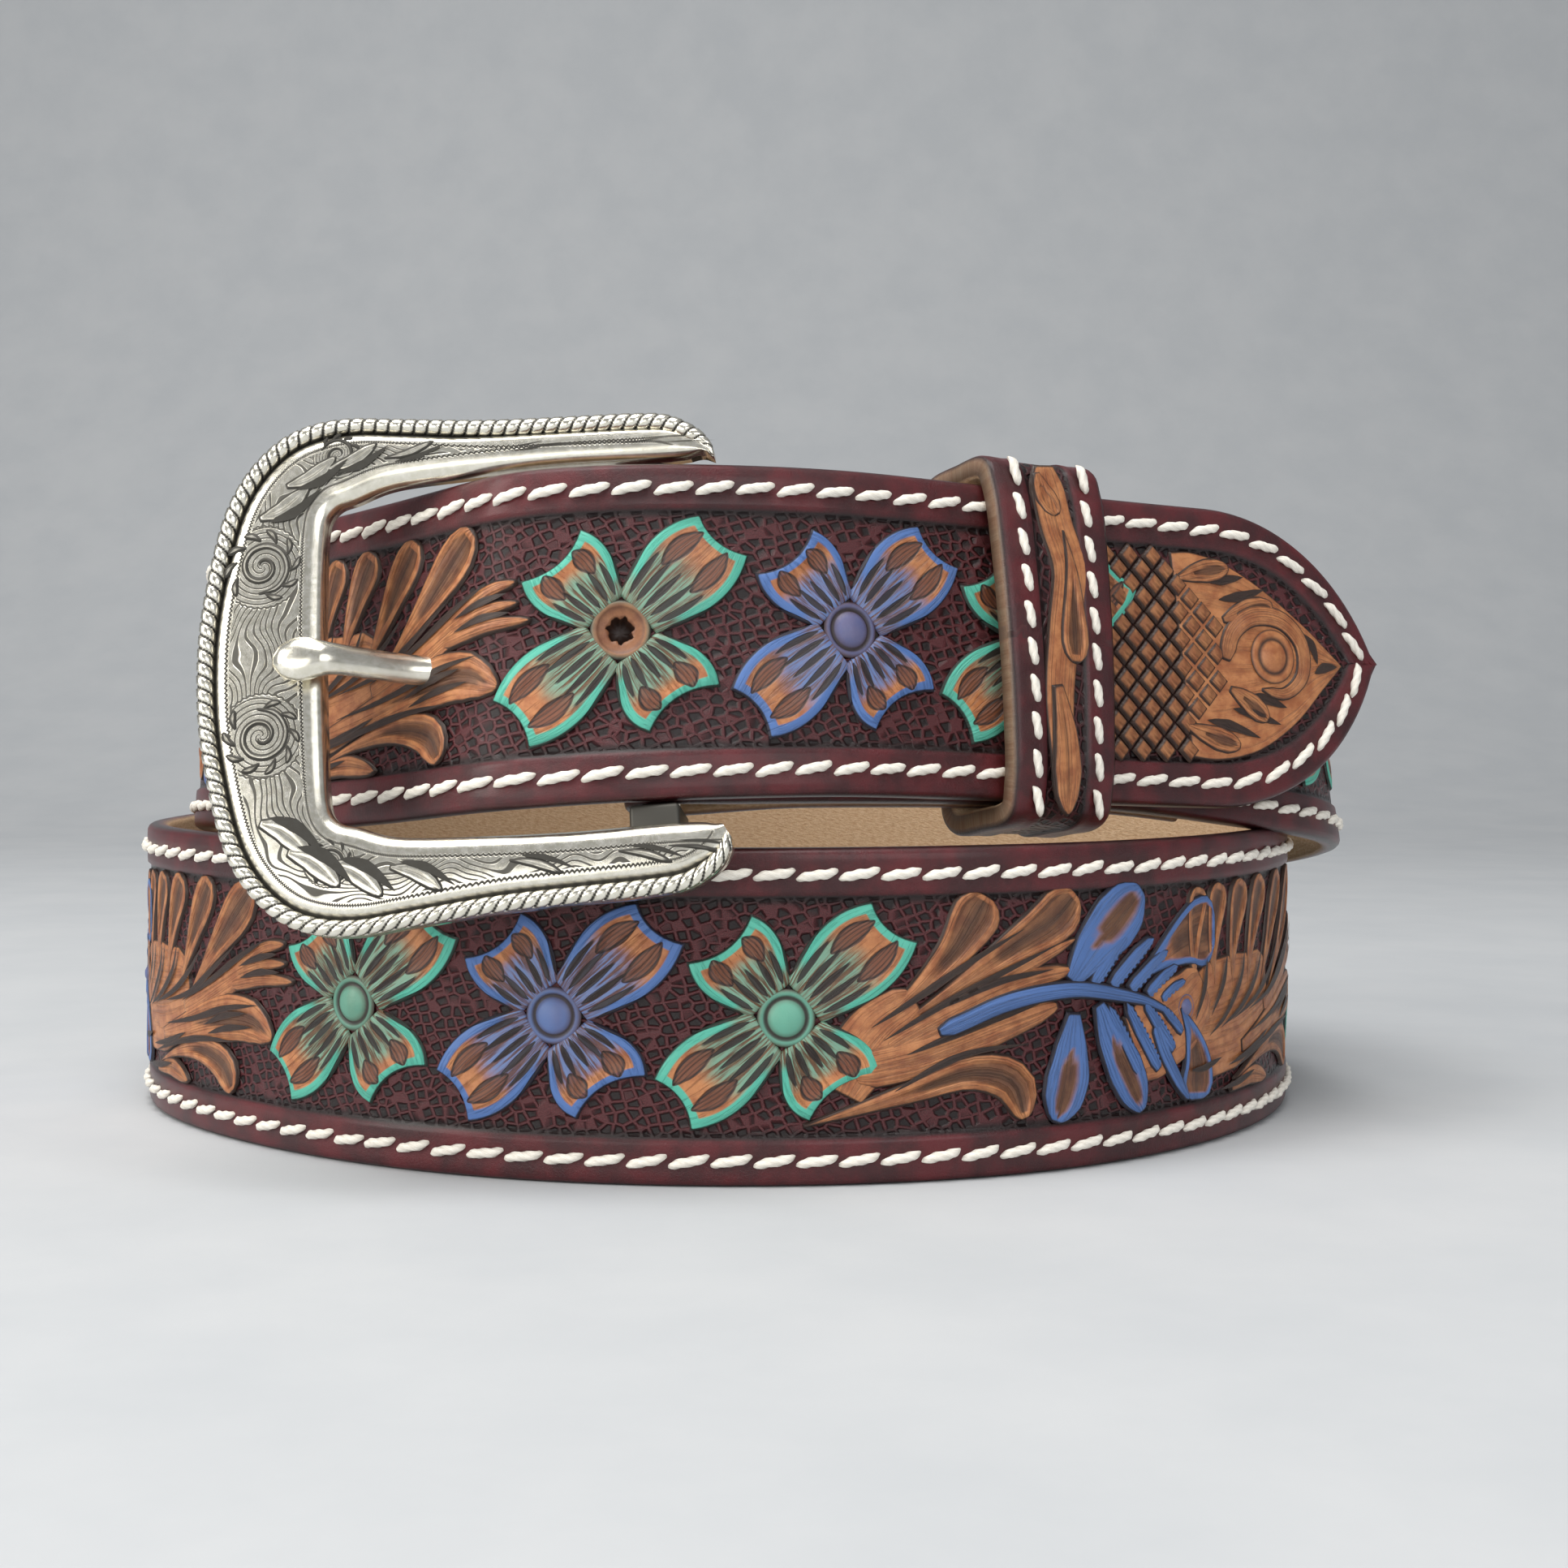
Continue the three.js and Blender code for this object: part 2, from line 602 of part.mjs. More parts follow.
const pieces = {
  strap: { solid: strap, color: 0x3a1512, roughness: 0.42, metalness: 0 },
  keeper: { solid: keeper_solid(), color: 0x431812, roughness: 0.42, metalness: 0 },
  buckle_frame: { solid: frame, color: 0xb9b5ab, roughness: 0.3, metalness: 1 },
  prong: { solid: prong, color: 0xb9b5ab, roughness: 0.3, metalness: 1 },
  fold_screw_upper: { solid: screw_solid(screw_heights.upper), color: 0xa8a49b, roughness: 0.4, metalness: 1 },
  fold_screw_lower: { solid: screw_solid(screw_heights.lower), color: 0xa8a49b, roughness: 0.4, metalness: 1 },
};

const belt = new THREE.Group();
for (const [name, { solid, color, roughness, metalness }] of Object.entries(pieces)) {
  const material = new THREE.MeshStandardMaterial({ color, roughness, metalness });
  const mesh = new THREE.Mesh(geometry_of(solid), material);
  mesh.name = name;
  belt.add(mesh);
}
const box = new THREE.Box3().setFromObject(belt);
const middle = box.getCenter(new THREE.Vector3());
for (const mesh of belt.children) {
  mesh.geometry.translate(-middle.x, -middle.y, -box.min.z);
}

export default belt;
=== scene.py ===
# %% [markdown]
# A western tooled belt, wound into a two-turn coil and fastened through its silver buckle.
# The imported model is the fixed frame: it gives the size and place of every piece. This script gives
# the pieces their looks: carved and painted leather, stitching, an engraved buckle and a rope edge.

# %% Load the frame
import math
import random
import bmesh
import bpy
import numpy as np
from mathutils import Matrix, Vector


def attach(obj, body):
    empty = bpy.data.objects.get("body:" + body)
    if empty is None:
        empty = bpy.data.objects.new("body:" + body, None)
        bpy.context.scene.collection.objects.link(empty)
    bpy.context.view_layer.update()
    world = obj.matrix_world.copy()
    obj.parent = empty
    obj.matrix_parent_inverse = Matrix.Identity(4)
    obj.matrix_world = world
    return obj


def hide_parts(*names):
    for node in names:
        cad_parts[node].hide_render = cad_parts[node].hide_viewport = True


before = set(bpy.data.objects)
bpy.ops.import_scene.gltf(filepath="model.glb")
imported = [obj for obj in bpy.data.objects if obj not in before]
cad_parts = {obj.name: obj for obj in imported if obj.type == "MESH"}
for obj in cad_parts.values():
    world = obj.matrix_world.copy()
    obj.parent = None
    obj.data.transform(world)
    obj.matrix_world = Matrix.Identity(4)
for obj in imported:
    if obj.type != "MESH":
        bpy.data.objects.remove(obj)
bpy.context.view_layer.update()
random.seed(7)
mm = 0.001
print("pieces in the frame:", sorted(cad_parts))


def linked(name, data):
    """A new object of the scene for a mesh, a camera or a light."""
    made = bpy.data.objects.new(name, data)
    bpy.context.scene.collection.objects.link(made)
    return made


def linked_mesh(name, mesh):
    """A new object of the scene from a bmesh, which is used up."""
    data = bpy.data.meshes.new(name)
    mesh.to_mesh(data)
    mesh.free()
    return linked(name, data)


def running_length(points):
    """How far along a line each of its points lies."""
    return np.concatenate([[0], np.cumsum(np.linalg.norm(np.diff(points, axis=0), axis=1))])



# %% [markdown]
# The camera comes first. It stands close, at the height of the upper strap, and looks a little down
# through a normal lens, so near and far bands of the coil differ in size as they do to the eye.

# %% Camera
camera_place = Vector((5.27, -312.39, 53.1)) * mm
camera_pitch_down = 1.84
camera_lens = 50.31
camera_data = bpy.data.cameras.new("camera")
camera_data.lens = camera_lens
camera_data.sensor_width = 36
camera_data.clip_start = 0.01
camera = linked("camera", camera_data)
camera.location = camera_place
camera.rotation_euler = (math.radians(90 - camera_pitch_down), 0, 0)
bpy.context.scene.camera = camera

# %% [markdown]
# The belt is drawn flat and then wound up. A point of the strap has a length along it, a height above
# its middle line and a depth below its grain face. The route of the middle line is the frame's own:
# a short table of bends, smoothed by a cubic B-spline. Every leather piece, carving and stitch below is
# made flat, as a maker works on the bench, and the winding puts it in place.

# %% The strap's route
strap_width = 38.1
strap_thickness = 3.0
fold_thickness = 2.0
panel_recess = 0.45
tip_length = 28
coil_radius = 80
layer_pitch = 3.7
part_middle = Vector((-1.2713, 0.3944, 0))

# turn in degrees, reach in coil radii, over in layers, lift in strap widths, lean in degrees
route = np.array([
    (-9, 0.807, 0, 1.120, -15), (0, 0.778, 0, 1.124, -14), (9, 0.744, 0, 1.122, -12.5),
    (20, 0.712, 0, 1.116, -11), (33, 0.701, 0, 1.105, -9.5), (45, 0.721, 0, 1.088, -8.5),
    (56, 0.778, 0, 1.060, -8), (66, 0.862, 0, 1.010, -8), (76, 0.952, 0, 0.965, -8),
    (88, 1.018, 0, 0.900, -8), (103, 1.028, 0, 0.810, -8), (120, 1.008, 0, 0.710, -7),
    (150, 0.985, 0, 0.520, -5), (180, 0.988, 0, 0.340, -3), (210, 1.020, 0, 0.180, -1),
    (235, 1.060, 0, 0.060, 0), (255, 1.105, 0, 0, 0), (275, 1.092, 0, 0, 0),
    (295, 1.016, 0, 0, 0), (327, 0.936, 0, 0, 0), (360, 0.892, 0, 0, 0),
    (393, 0.920, 0, 0, 0), (425, 0.937, 0, 0, 0), (450, 0.965, 0, 0, 0),
    (470, 0.968, 0, 0.020, 0), (495, 0.967, -1, 0.110, 0), (520, 0.965, -1, 0.240, 0),
    (545, 0.970, -1, 0.400, 0), (570, 0.990, -1, 0.560, -1), (595, 1.020, -1, 0.740, -2),
    (615, 1.040, -1, 0.880, -3), (632, 1.035, -1, 0.970, -4), (648, 0.988, -1, 1.000, -5),
    (662, 0.884, 0, 1.010, -6), (673, 0.878, 0, 1.030, -7), (682, 0.876, 0, 1.055, -7),
    (690, 0.893, 0, 1.085, -7), (697, 0.928, 0, 1.110, -8), (704, 0.912, 0, 1.130, -9.5),
    (713, 0.828, 1, 1.145, -10.5), (729, 0.746, 1, 1.150, -10.5), (740, 0.713, 1, 1.135, -10),
    (753, 0.702, 1, 1.118, -9), (765, 0.725, 1, 1.101, -8.5), (776, 0.800, 1, 1.085, -8),
    (786, 0.910, 1, 1.072, -8), (794, 1.020, 1, 1.062, -8),
], float)
turn, reach, over, lift, lean = route.T
radius = reach * coil_radius + over * layer_pitch
rows = np.column_stack([
    radius * np.sin(np.radians(turn)), -radius * np.cos(np.radians(turn)),
    lift * strap_width + strap_width / 2, np.radians(lean)])
knots = np.vstack([2 * rows[0] - rows[1], rows, 2 * rows[-1] - rows[-2]])
samples_per_row = 16
position = np.arange((len(rows) - 1) * samples_per_row + 1) / samples_per_row
span = np.minimum(np.floor(position).astype(int), len(rows) - 2)
t = (position - span)[:, None]
route_line = ((1 - t) ** 3 * knots[span] + (3 * t ** 3 - 6 * t ** 2 + 4) * knots[span + 1]
              + (-3 * t ** 3 + 3 * t ** 2 + 3 * t + 1) * knots[span + 2] + t ** 3 * knots[span + 3]) / 6
route_length = running_length(route_line[:, :3])
strap_length = route_length[-1]
run_on = 60
for end, inner, at in ((0, 1, 0), (-1, -2, len(route_line) + 1)):
    heading = (route_line[end] - route_line[inner]) / abs(route_length[end] - route_length[inner])
    heading[3] = 0
    side = 1 if end else -1
    beyond = route_line[end] + heading * run_on
    route_line = np.insert(route_line, at, beyond, axis=0)
    route_length = np.insert(route_length, at, route_length[end] + side * run_on)
print(f"strap from the heel bar to the tip: {strap_length:.1f} mm")


# %% [markdown]
# `wrap` winds flat points onto the route. It works on whole arrays, so a carving with thousands of points
# is placed in one call.

# %% Winding
def route_at(length):
    return np.column_stack([np.interp(length, route_length, column) for column in route_line.T])


def unit(vectors):
    return vectors / np.linalg.norm(vectors, axis=1, keepdims=True)


def wrap(length, height, depth):
    length, height, depth = np.broadcast_arrays(
        np.atleast_1d(np.asarray(length, float)), np.asarray(height, float), np.asarray(depth, float))
    here = route_at(length)
    along = unit((route_at(length + 1) - route_at(length - 1))[:, :3])
    level_out = unit(np.column_stack([along[:, 1], -along[:, 0], np.zeros(len(along))]))
    rise = level_out * np.sin(here[:, 3:]) + np.array([0, 0, 1]) * np.cos(here[:, 3:])
    out = unit(np.cross(along, rise))
    across = np.cross(out, along)
    points = here[:, :3] + across * height[:, None] - out * depth[:, None]
    return (points - np.array(part_middle)) * mm


def ease(value):
    value = np.clip(value, 0, 1)
    return value * value * (3 - 2 * value)


# %% [markdown]
# Nearly every form on this belt is a sheet: a strap, a petal, a leaf, a thread. A sheet starts as a grid,
# and its points are pushed to their places. The grid keeps its rows and columns, so each point can carry
# what the finish needs: where it lies on the leather, how deep in a cut it is, and how much paint it has.

# %% Sheets
seam_gap = 1e-6


class Piece:
    """One bmesh that sheets are added to, and the numbers that its points carry."""

    def __init__(self, name):
        self.name = name
        self.mesh = bmesh.new()
        self.layers = {key: self.mesh.verts.layers.float_vector.new(key) for key in ("at", "form", "tone")}

    def sheet(self, columns, row_count, place):
        """Adds a grid. place takes column and row shares from 0 to 1 and gives points and the layers."""
        made = bmesh.ops.create_grid(self.mesh, x_segments=columns, y_segments=row_count, size=0.5)["verts"]
        shares = np.array([vert.co[:2] for vert in made]) + 0.5
        points, layers = place(shares[:, 0], shares[:, 1])
        for key, values in layers.items():
            layer = self.layers[key]
            for vert, value in zip(made, values.tolist()):
                vert[layer] = value
        for vert, point in zip(made, points.tolist()):
            vert.co = point
        return made

    def close(self):
        """Merges the seam of a rolled-up sheet and fills its open ends."""
        bmesh.ops.remove_doubles(self.mesh, verts=self.mesh.verts, dist=seam_gap)
        open_edges = [edge for edge in self.mesh.edges if edge.is_boundary]
        bmesh.ops.holes_fill(self.mesh, edges=open_edges, sides=0)

    def finish(self, merge=seam_gap, outward=True):
        """Closes seams, turns the faces outwards and links the object."""
        if merge:
            bmesh.ops.remove_doubles(self.mesh, verts=self.mesh.verts, dist=merge)
        if outward:
            bmesh.ops.recalc_face_normals(self.mesh, faces=self.mesh.faces)
        for face in self.mesh.faces:
            face.smooth = True
        made = linked_mesh(self.name, self.mesh)
        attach(made, "root")
        print(f"{self.name}: {sum(len(face.vertices) - 2 for face in made.data.polygons)} triangles")
        return made


def layers_of(count, at=(0, 0, 0), form=(0, 0, 0), tone=(0, 0, 0)):
    """The three layers, each given as three numbers or arrays."""
    def stack(parts):
        return np.column_stack([np.broadcast_to(np.asarray(part, float), count) for part in parts])
    return {"at": stack(at), "form": stack(form), "tone": stack(tone)}


# %% [markdown]
# The strap is one long piece of leather. Its section has a raised border on each side, a dark creased
# line, a sunk panel for the carving, rounded and burnished edges and a flat flesh side. The section runs
# as a ring round the strap, so one grid makes the whole closed skin. At the tip the two borders follow
# the point.

# %% Strap section
def half_width(length):
    tip_arc = (tip_length ** 2 + (strap_width / 2) ** 2) / strap_width
    run = np.clip(length - (strap_length - tip_length), 0, tip_length - 0.02)
    return np.sqrt(tip_arc ** 2 - run ** 2) - (tip_arc - strap_width / 2)


def edge_slope(length):
    """How much longer a width measured across the strap is than one measured square to its edge."""
    slope = (half_width(length + 0.2) - half_width(length - 0.2)) / 0.4
    return np.sqrt(1 + slope ** 2)


# inset from the edge in mm, depth below the grain face in mm, how dark, how much of the panel's matting
grain_profile = np.array([
    (0.00, 1.15, 0.9, 0), (0.10, 0.62, 0.7, 0), (0.38, 0.22, 0.25, 0), (0.80, 0.04, 0.05, 0),
    (1.70, 0.00, 0, 0), (2.60, 0.05, 0, 0), (3.00, 0.10, 0.15, 0), (3.40, 0.04, 0, 0),
    (4.60, 0.00, 0, 0), (5.20, 0.03, 0.2, 0), (5.55, 0.42, 1, 0), (5.95, 0.47, 0.85, 1),
    (6.60, 0.45, 0.2, 1), (8.60, 0.45, 0, 1), (11.0, 0.45, 0, 1), (13.5, 0.45, 0, 1),
    (16.0, 0.45, 0, 1),
])
flesh_profile = np.array([(0.00, 1.85), (0.10, 2.40), (0.40, 2.80), (0.85, 2.98), (6, 3.0), (13, 3.0)])
grain_count = len(grain_profile)
ring_count = 2 * grain_count + 2 * len(flesh_profile)


def strap_ring(share):
    """From a share of the way round the section: side, inset, depth, dark, panel and flesh."""
    index = np.round(share * ring_count).astype(int) % ring_count
    grain = np.vstack([grain_profile, grain_profile[::-1]])
    flesh = np.vstack([flesh_profile, flesh_profile[::-1]])
    grain = np.column_stack([np.repeat([1, -1], grain_count), grain, np.zeros(2 * grain_count)])
    flesh = np.column_stack([
        np.repeat([-1, 1], len(flesh_profile)), flesh, np.zeros((len(flesh), 2)),
        np.clip((flesh[:, 1] - 2.3) * 3, 0, 1)])
    return np.vstack([grain, flesh])[index].T


def strap_place(share_round, length, base, turned, thick):
    side, inset, depth, dark, panel, flesh = strap_ring(share_round)
    half = half_width(length)
    room = np.maximum(half - inset * edge_slope(length), 0)
    height = side * room
    sunk = (depth > 0.3) & (flesh == 0) & (inset > 5)
    panel_share = np.where(sunk, np.clip((half - 5) / 3, 0, 1), 1)
    fresh = ease((length - 8) / 8) * panel_share
    depth = np.where(sunk, depth * fresh, depth) * thick / strap_thickness
    run = length + depth * np.sin(turned)
    points = wrap(run, height, base + depth * np.cos(turned))
    tone = (dark * np.where(sunk, fresh, 1), flesh, panel * fresh)
    return points, layers_of(len(length), at=(length, height, depth), tone=tone)


# %% [markdown]
# The strap proper runs from the heel bar to the tip. Behind it lies the fold-back: the same leather, skived
# thinner, turned round the heel bar and screwed down. One grid covers both, its first rows being the
# fold-back's end. The holes are punched afterwards with a boolean, as a maker punches finished leather.

# %% Strap
bar_radius = 2.0
bar_clearance = 0.35
bar_depth = bar_radius + bar_clearance + fold_thickness
fold_back_length = 75
skive_length = 9
fit_gap = 0.3
flat_depth = strap_thickness + fit_gap + fold_thickness
fold_steps, bend_steps, straight_steps = 70, 24, 1060
step_count = fold_steps + bend_steps + straight_steps

step = np.arange(step_count + 1)
fold_share = np.clip(step / fold_steps, 0, 1)
bend_share = np.clip((step - fold_steps) / bend_steps, 0, 1)
straight_share = np.clip((step - fold_steps - bend_steps) / straight_steps, 0, 1)
row_turned = np.pi * (1 - bend_share)
row_length = np.where(
    step <= fold_steps, fold_back_length * (1 - fold_share),
    np.where(
        step < fold_steps + bend_steps, -bar_depth * np.sin(row_turned), strap_length * straight_share))
row_base = np.where(
    step <= fold_steps,
    flat_depth + (2 * bar_depth - flat_depth) * (1 - ease(row_length / (2 * skive_length))),
    np.where(step < fold_steps + bend_steps, bar_depth - bar_depth * np.cos(row_turned), 0))
row_thick = np.where(
    straight_share > 0,
    fold_thickness + (strap_thickness - fold_thickness) * ease(row_length / skive_length), fold_thickness)


def whole_strap(across, down):
    index = np.round(down * step_count).astype(int)
    length = row_length[index]
    points, layers = strap_place(across, length, row_base[index], row_turned[index], row_thick[index])
    return points, layers


strap_piece = Piece("tooled_strap")
strap_piece.sheet(ring_count, step_count, whole_strap)
strap_piece.close()
strap = strap_piece.finish(merge=0)

# %% [markdown]
# Each punch is a short cylinder, placed by the same winding. The row of belt holes starts at the hole in
# the middle of the last open flower. The slot lets the prong through at the fold.

# %% Holes
hole_radius = 2.1
hole_pitch = 27
first_hole = 936.1
hole_count = 5
slot_half_width = 3.2
slot_middle = 2
slot_long = 20
slot_depth = 10


def axes_at(length):
    base = wrap(length, 0, 0)[0]
    along = wrap(length + 1, 0, 0)[0] - wrap(length - 1, 0, 0)[0]
    across = wrap(length, 1, 0)[0] - base
    out = base - wrap(length, 0, 1)[0]
    return Vector(base), Vector(along).normalized(), Vector(across).normalized(), Vector(out).normalized()


def stood_at(length, height, depth):
    """Matrix whose Z points out of the grain face at a point of the strap."""
    base, along, across, out = axes_at(length)
    turn = Matrix((along, across, out)).transposed().to_4x4()
    turn.translation = Vector(wrap(length, height, depth)[0])
    return turn


punch_mesh = bmesh.new()
for number in range(hole_count):
    bmesh.ops.create_cone(
        punch_mesh, cap_ends=True, segments=28, radius1=hole_radius * mm, radius2=hole_radius * mm,
        depth=(strap_thickness + 2 * fit_gap) * mm,
        matrix=stood_at(first_hole - number * hole_pitch, 0, strap_thickness / 2))
slot_turn = stood_at(slot_middle, 0, slot_depth / 2 - fit_gap)
slot = bmesh.ops.create_cube(punch_mesh, size=1, matrix=slot_turn)["verts"]
slot_stretch = Matrix.Diagonal((slot_long * mm, 2 * slot_half_width * mm, slot_depth * mm, 1))
bmesh.ops.transform(punch_mesh, matrix=slot_turn @ slot_stretch @ slot_turn.inverted(), verts=slot)
punch = linked_mesh("punch", punch_mesh)


def cut_by(piece, tool):
    """Applies a boolean difference to the piece's own mesh."""
    cut = piece.modifiers.new("cut", "BOOLEAN")
    cut.operation = "DIFFERENCE"
    cut.solver = "EXACT"
    cut.object = tool
    graph = bpy.context.evaluated_depsgraph_get()
    result = bpy.data.meshes.new_from_object(piece.evaluated_get(graph))
    piece.modifiers.clear()
    piece.data = result


cut_by(strap, punch)
bpy.data.objects.remove(punch)
print("strap after punching:", len(strap.data.polygons), "faces")
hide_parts("strap")

# %% [markdown]
# A carved form stands up from the sunk ground: its edge is cut with a swivel knife and bevelled down, so
# there is a dark channel round it, and its middle is level with the border. `patch` makes one such form
# between a left and a right edge. Its outer columns have fixed distances from the edge in millimetres,
# so the channel and the painted line keep their width on every form.

# %% Carved patches
def catmull(points, share):
    """Points of a smooth curve through the given ones, at shares from 0 to 1."""
    points = np.asarray(points, float)
    padded = np.vstack([2 * points[0] - points[1], points, 2 * points[-1] - points[-2]])
    position = np.clip(share, 0, 1) * (len(points) - 1)
    index = np.minimum(position.astype(int), len(points) - 2)
    t = (position - index)[:, None]
    p0, p1, p2, p3 = (padded[index + k] for k in range(4))
    return 0.5 * (2 * p1 + (p2 - p0) * t + (2 * p0 - 5 * p1 + 4 * p2 - p3) * t ** 2
                  + (3 * p1 - p0 - 3 * p2 + p3) * t ** 3)


def spaced(share, count, insets, size):
    """Moves even shares so that the outer ones lie at the insets, in mm, on a form of the given size."""
    index = np.round(share * count).astype(int)
    near = np.minimum(index, count - index)
    border = len(insets)
    size = np.maximum(size, 0.05)
    fixed = np.minimum(np.asarray(insets + (0,))[np.minimum(near, border)], size * 0.42 * near / border)
    last = np.minimum(insets[-1], size * 0.42 * (border - 1) / border)
    inner = last + (size - 2 * last) * (near - border + 1) / (count - 2 * (border - 1))
    from_edge = np.where(near < border, fixed, inner) / size
    inset = np.where(near < border, fixed, from_edge * size)
    return np.where(index * 2 <= count, from_edge, 1 - from_edge), inset


# distances from a form's edge that always have a column: foot, top of the bevel, end of the dark line,
# end of the rounding
edge_insets = (0, 0.2, 0.48, 0.8)


def patch(piece, left, right, relief, lay, insets=edge_insets, columns=12, row_count=22,
          end_curve=0, pick=0):
    """A carved form. left and right give edge points for shares along it; lay puts points in place."""
    fine = np.linspace(0, 1, 40)
    middle = (left(fine) + right(fine)) / 2
    long = np.linalg.norm(np.diff(middle, axis=0), axis=1).sum()

    def place(across, along):
        v, from_end = spaced(along, row_count, insets, long)
        a, b = left(v), right(v)
        wide = np.linalg.norm(b - a, axis=1)
        x, from_side = spaced(across, columns, insets, wide)
        u = 2 * x - 1
        heading = unit(right(np.minimum(v + 0.01, 1)) + left(np.minimum(v + 0.01, 1))
                       - right(np.maximum(v - 0.01, 0)) - left(np.maximum(v - 0.01, 0)) + 1e-9)
        scoop = end_curve * (1 - u ** 2) * ease((v - 0.5) / 0.5)
        flat = a + (b - a) * x[:, None] - heading * scoop[:, None]
        inset = np.minimum(from_side, from_end)
        rise, dark, line, fade = relief(u, v, inset)
        s, h = flat.T
        layers = layers_of(len(u), at=(s, h, rise), form=(u, v, pick), tone=(dark, line, fade))
        return lay(s, h, rise), layers

    piece.sheet(columns, row_count, place)


def on_strap(length, height, rise):
    return wrap(length, height, panel_recess - rise)


def raised(lift):
    """Lays forms a little over the carving below them."""
    return lambda length, height, rise: on_strap(length, height, rise + lift)


def smooth_range(value, low, high):
    return ease((value - low) / (high - low))


full_rise = 0.42


def shoulder(inset, wide=0.7):
    """The bevelled shoulder of a form: its height and how dark it is, by distance from the edge."""
    steep = smooth_range(inset, 0, 0.22)
    soft = smooth_range(inset, 0.22, wide)
    return -0.06 + (full_rise - 0.04) * steep + 0.10 * soft, 1 - smooth_range(inset, 0.22, 0.50)


# %% [markdown]
# A blade is a patch along a centre line, with a table of widths. Leaves, loops, stems, barbs and scrolls
# are all blades. A loop has a sunk middle inside its rim, a petal a teardrop cut, a leaf a soft groove, a
# barb toothed gaps, a stem is rounded, and a slit is only a dark cut laid over the forms below it.

# %% Blades
loop_rim = 0.95
# share along the blade, share of its width
blade_outlines = {
    "loop": ((0, 0.10), (0.25, 0.34), (0.5, 0.66), (0.72, 0.95), (0.84, 1.0), (0.93, 0.80), (0.98, 0.45),
             (1, 0.12)),
    "leaf": ((0, 0.35), (0.3, 0.80), (0.6, 1.0), (0.82, 0.80), (0.94, 0.45), (1, 0.06)),
    "stem": ((0, 0.5), (0.06, 0.95), (0.3, 1.0), (0.7, 0.85), (0.94, 0.55), (1, 0.2)),
    "barb": ((0, 0.70), (0.15, 1.0), (0.6, 1.0), (0.88, 0.75), (1, 0.12)),
    "petal": ((0, 0.30), (0.3, 0.72), (0.6, 1.0), (0.8, 0.92), (0.92, 0.62), (0.98, 0.3), (1, 0.08)),
    "slit": ((0, 0.05), (0.15, 0.55), (0.45, 1.0), (0.8, 0.6), (1, 0.05)),
    "body": ((0, 0.8), (0.2, 1.0), (0.6, 1.0), (0.9, 0.8), (1, 0.5)),
}
slit_lift = 0.03
tooth_pitch = 0.85


def outline_at(kind, share):
    table = np.array(blade_outlines[kind])
    return np.interp(share, table[:, 0], table[:, 1])


def teardrop(u, v, low, high, wide):
    """1 inside a pointed drop that widens towards its far end, 0 outside."""
    run = np.clip((v - low) / (high - low), 0, 1)
    half = wide * np.sqrt(run) * np.sqrt(np.clip(1 - run ** 3, 0, 1)) + 1e-3
    return smooth_range(1.15 - np.abs(u) / half, 0, 0.35) * (v > low) * (v < high)


def blade_relief(kind, paint, cover, long):
    def relief(u, v, inset):
        rise, dark = shoulder(inset)
        recess = 0 * u
        if kind == "loop":
            recess = smooth_range(inset, loop_rim, loop_rim + 0.35) * smooth_range(v, 0.30, 0.46)
            rise = rise - 0.24 * recess
            dark = np.maximum(dark, (0.66 + 0.10 * np.cos(7 * u)) * recess)
        elif kind == "petal":
            recess = teardrop(u, v, 0.34, 0.94, 0.60)
            rise = rise - 0.18 * recess
            dark = np.maximum(dark, 0.68 * recess)
        elif kind == "slit":
            rise = full_rise + slit_lift + 0 * u
            dark = 0.80 + 0.2 * (1 - u ** 2)
        elif kind == "barb":
            tooth = np.abs((v * long / tooth_pitch) % 1 - 0.5) * 2
            gap = smooth_range(u, 0.30 + 0.38 * tooth, 0.46 + 0.38 * tooth)
            rise = rise - 0.2 * gap
            dark = np.maximum(dark, gap)
        elif kind == "leaf":
            groove = np.exp(-(u / 0.16) ** 2) * smooth_range(v, 0.05, 0.3)
            groove = groove * (1 - smooth_range(v, 0.75, 0.95))
            rise = rise - 0.12 * groove
            dark = np.maximum(dark, 0.55 * groove)
        else:
            rise = rise - 0.05 * u ** 2
        painted = paint * (1 - smooth_range(inset, 1.2, 1.45) * (1 - cover)) * (1 - recess)
        return rise, dark, painted, 0 * u
    return relief


def blade(piece, line, wide, kind, lay=on_strap, pick=0, paint=0, cover=0, shift=(0, 0), fine=1.0):
    """A patch along a centre line. wide is its greatest width in mm, shift moves the whole line."""
    line = np.asarray(line, float) + np.asarray(shift, float)
    long = np.linalg.norm(np.diff(line, axis=0), axis=1).sum()

    def edge(side):
        def points(v):
            centre = catmull(line, v)
            ahead, behind = catmull(line, np.minimum(v + 0.02, 1)), catmull(line, np.maximum(v - 0.02, 0))
            heading = unit(ahead - behind + 1e-9)
            normal = np.column_stack([-heading[:, 1], heading[:, 0]])
            return centre + normal * (side * wide / 2 * outline_at(kind, v))[:, None]
        return points

    rows_used = max(8, int(round((12 + 2.0 * len(line)) * fine)))
    columns, insets = (8, (0, 0.2, 0.46)) if wide < 2.3 else (12, edge_insets)
    if kind == "loop" and wide > 3:
        columns, insets = 14, (0, 0.2, 0.48, loop_rim, loop_rim + 0.3)
    if kind == "barb":
        rows_used = int(4 * long / tooth_pitch)
    if kind == "slit":
        columns, insets = 4, (0, 0.2)
    relief = blade_relief(kind, paint, cover, long)
    patch(piece, edge(1), edge(-1), relief, lay, insets, columns, rows_used, pick=pick)


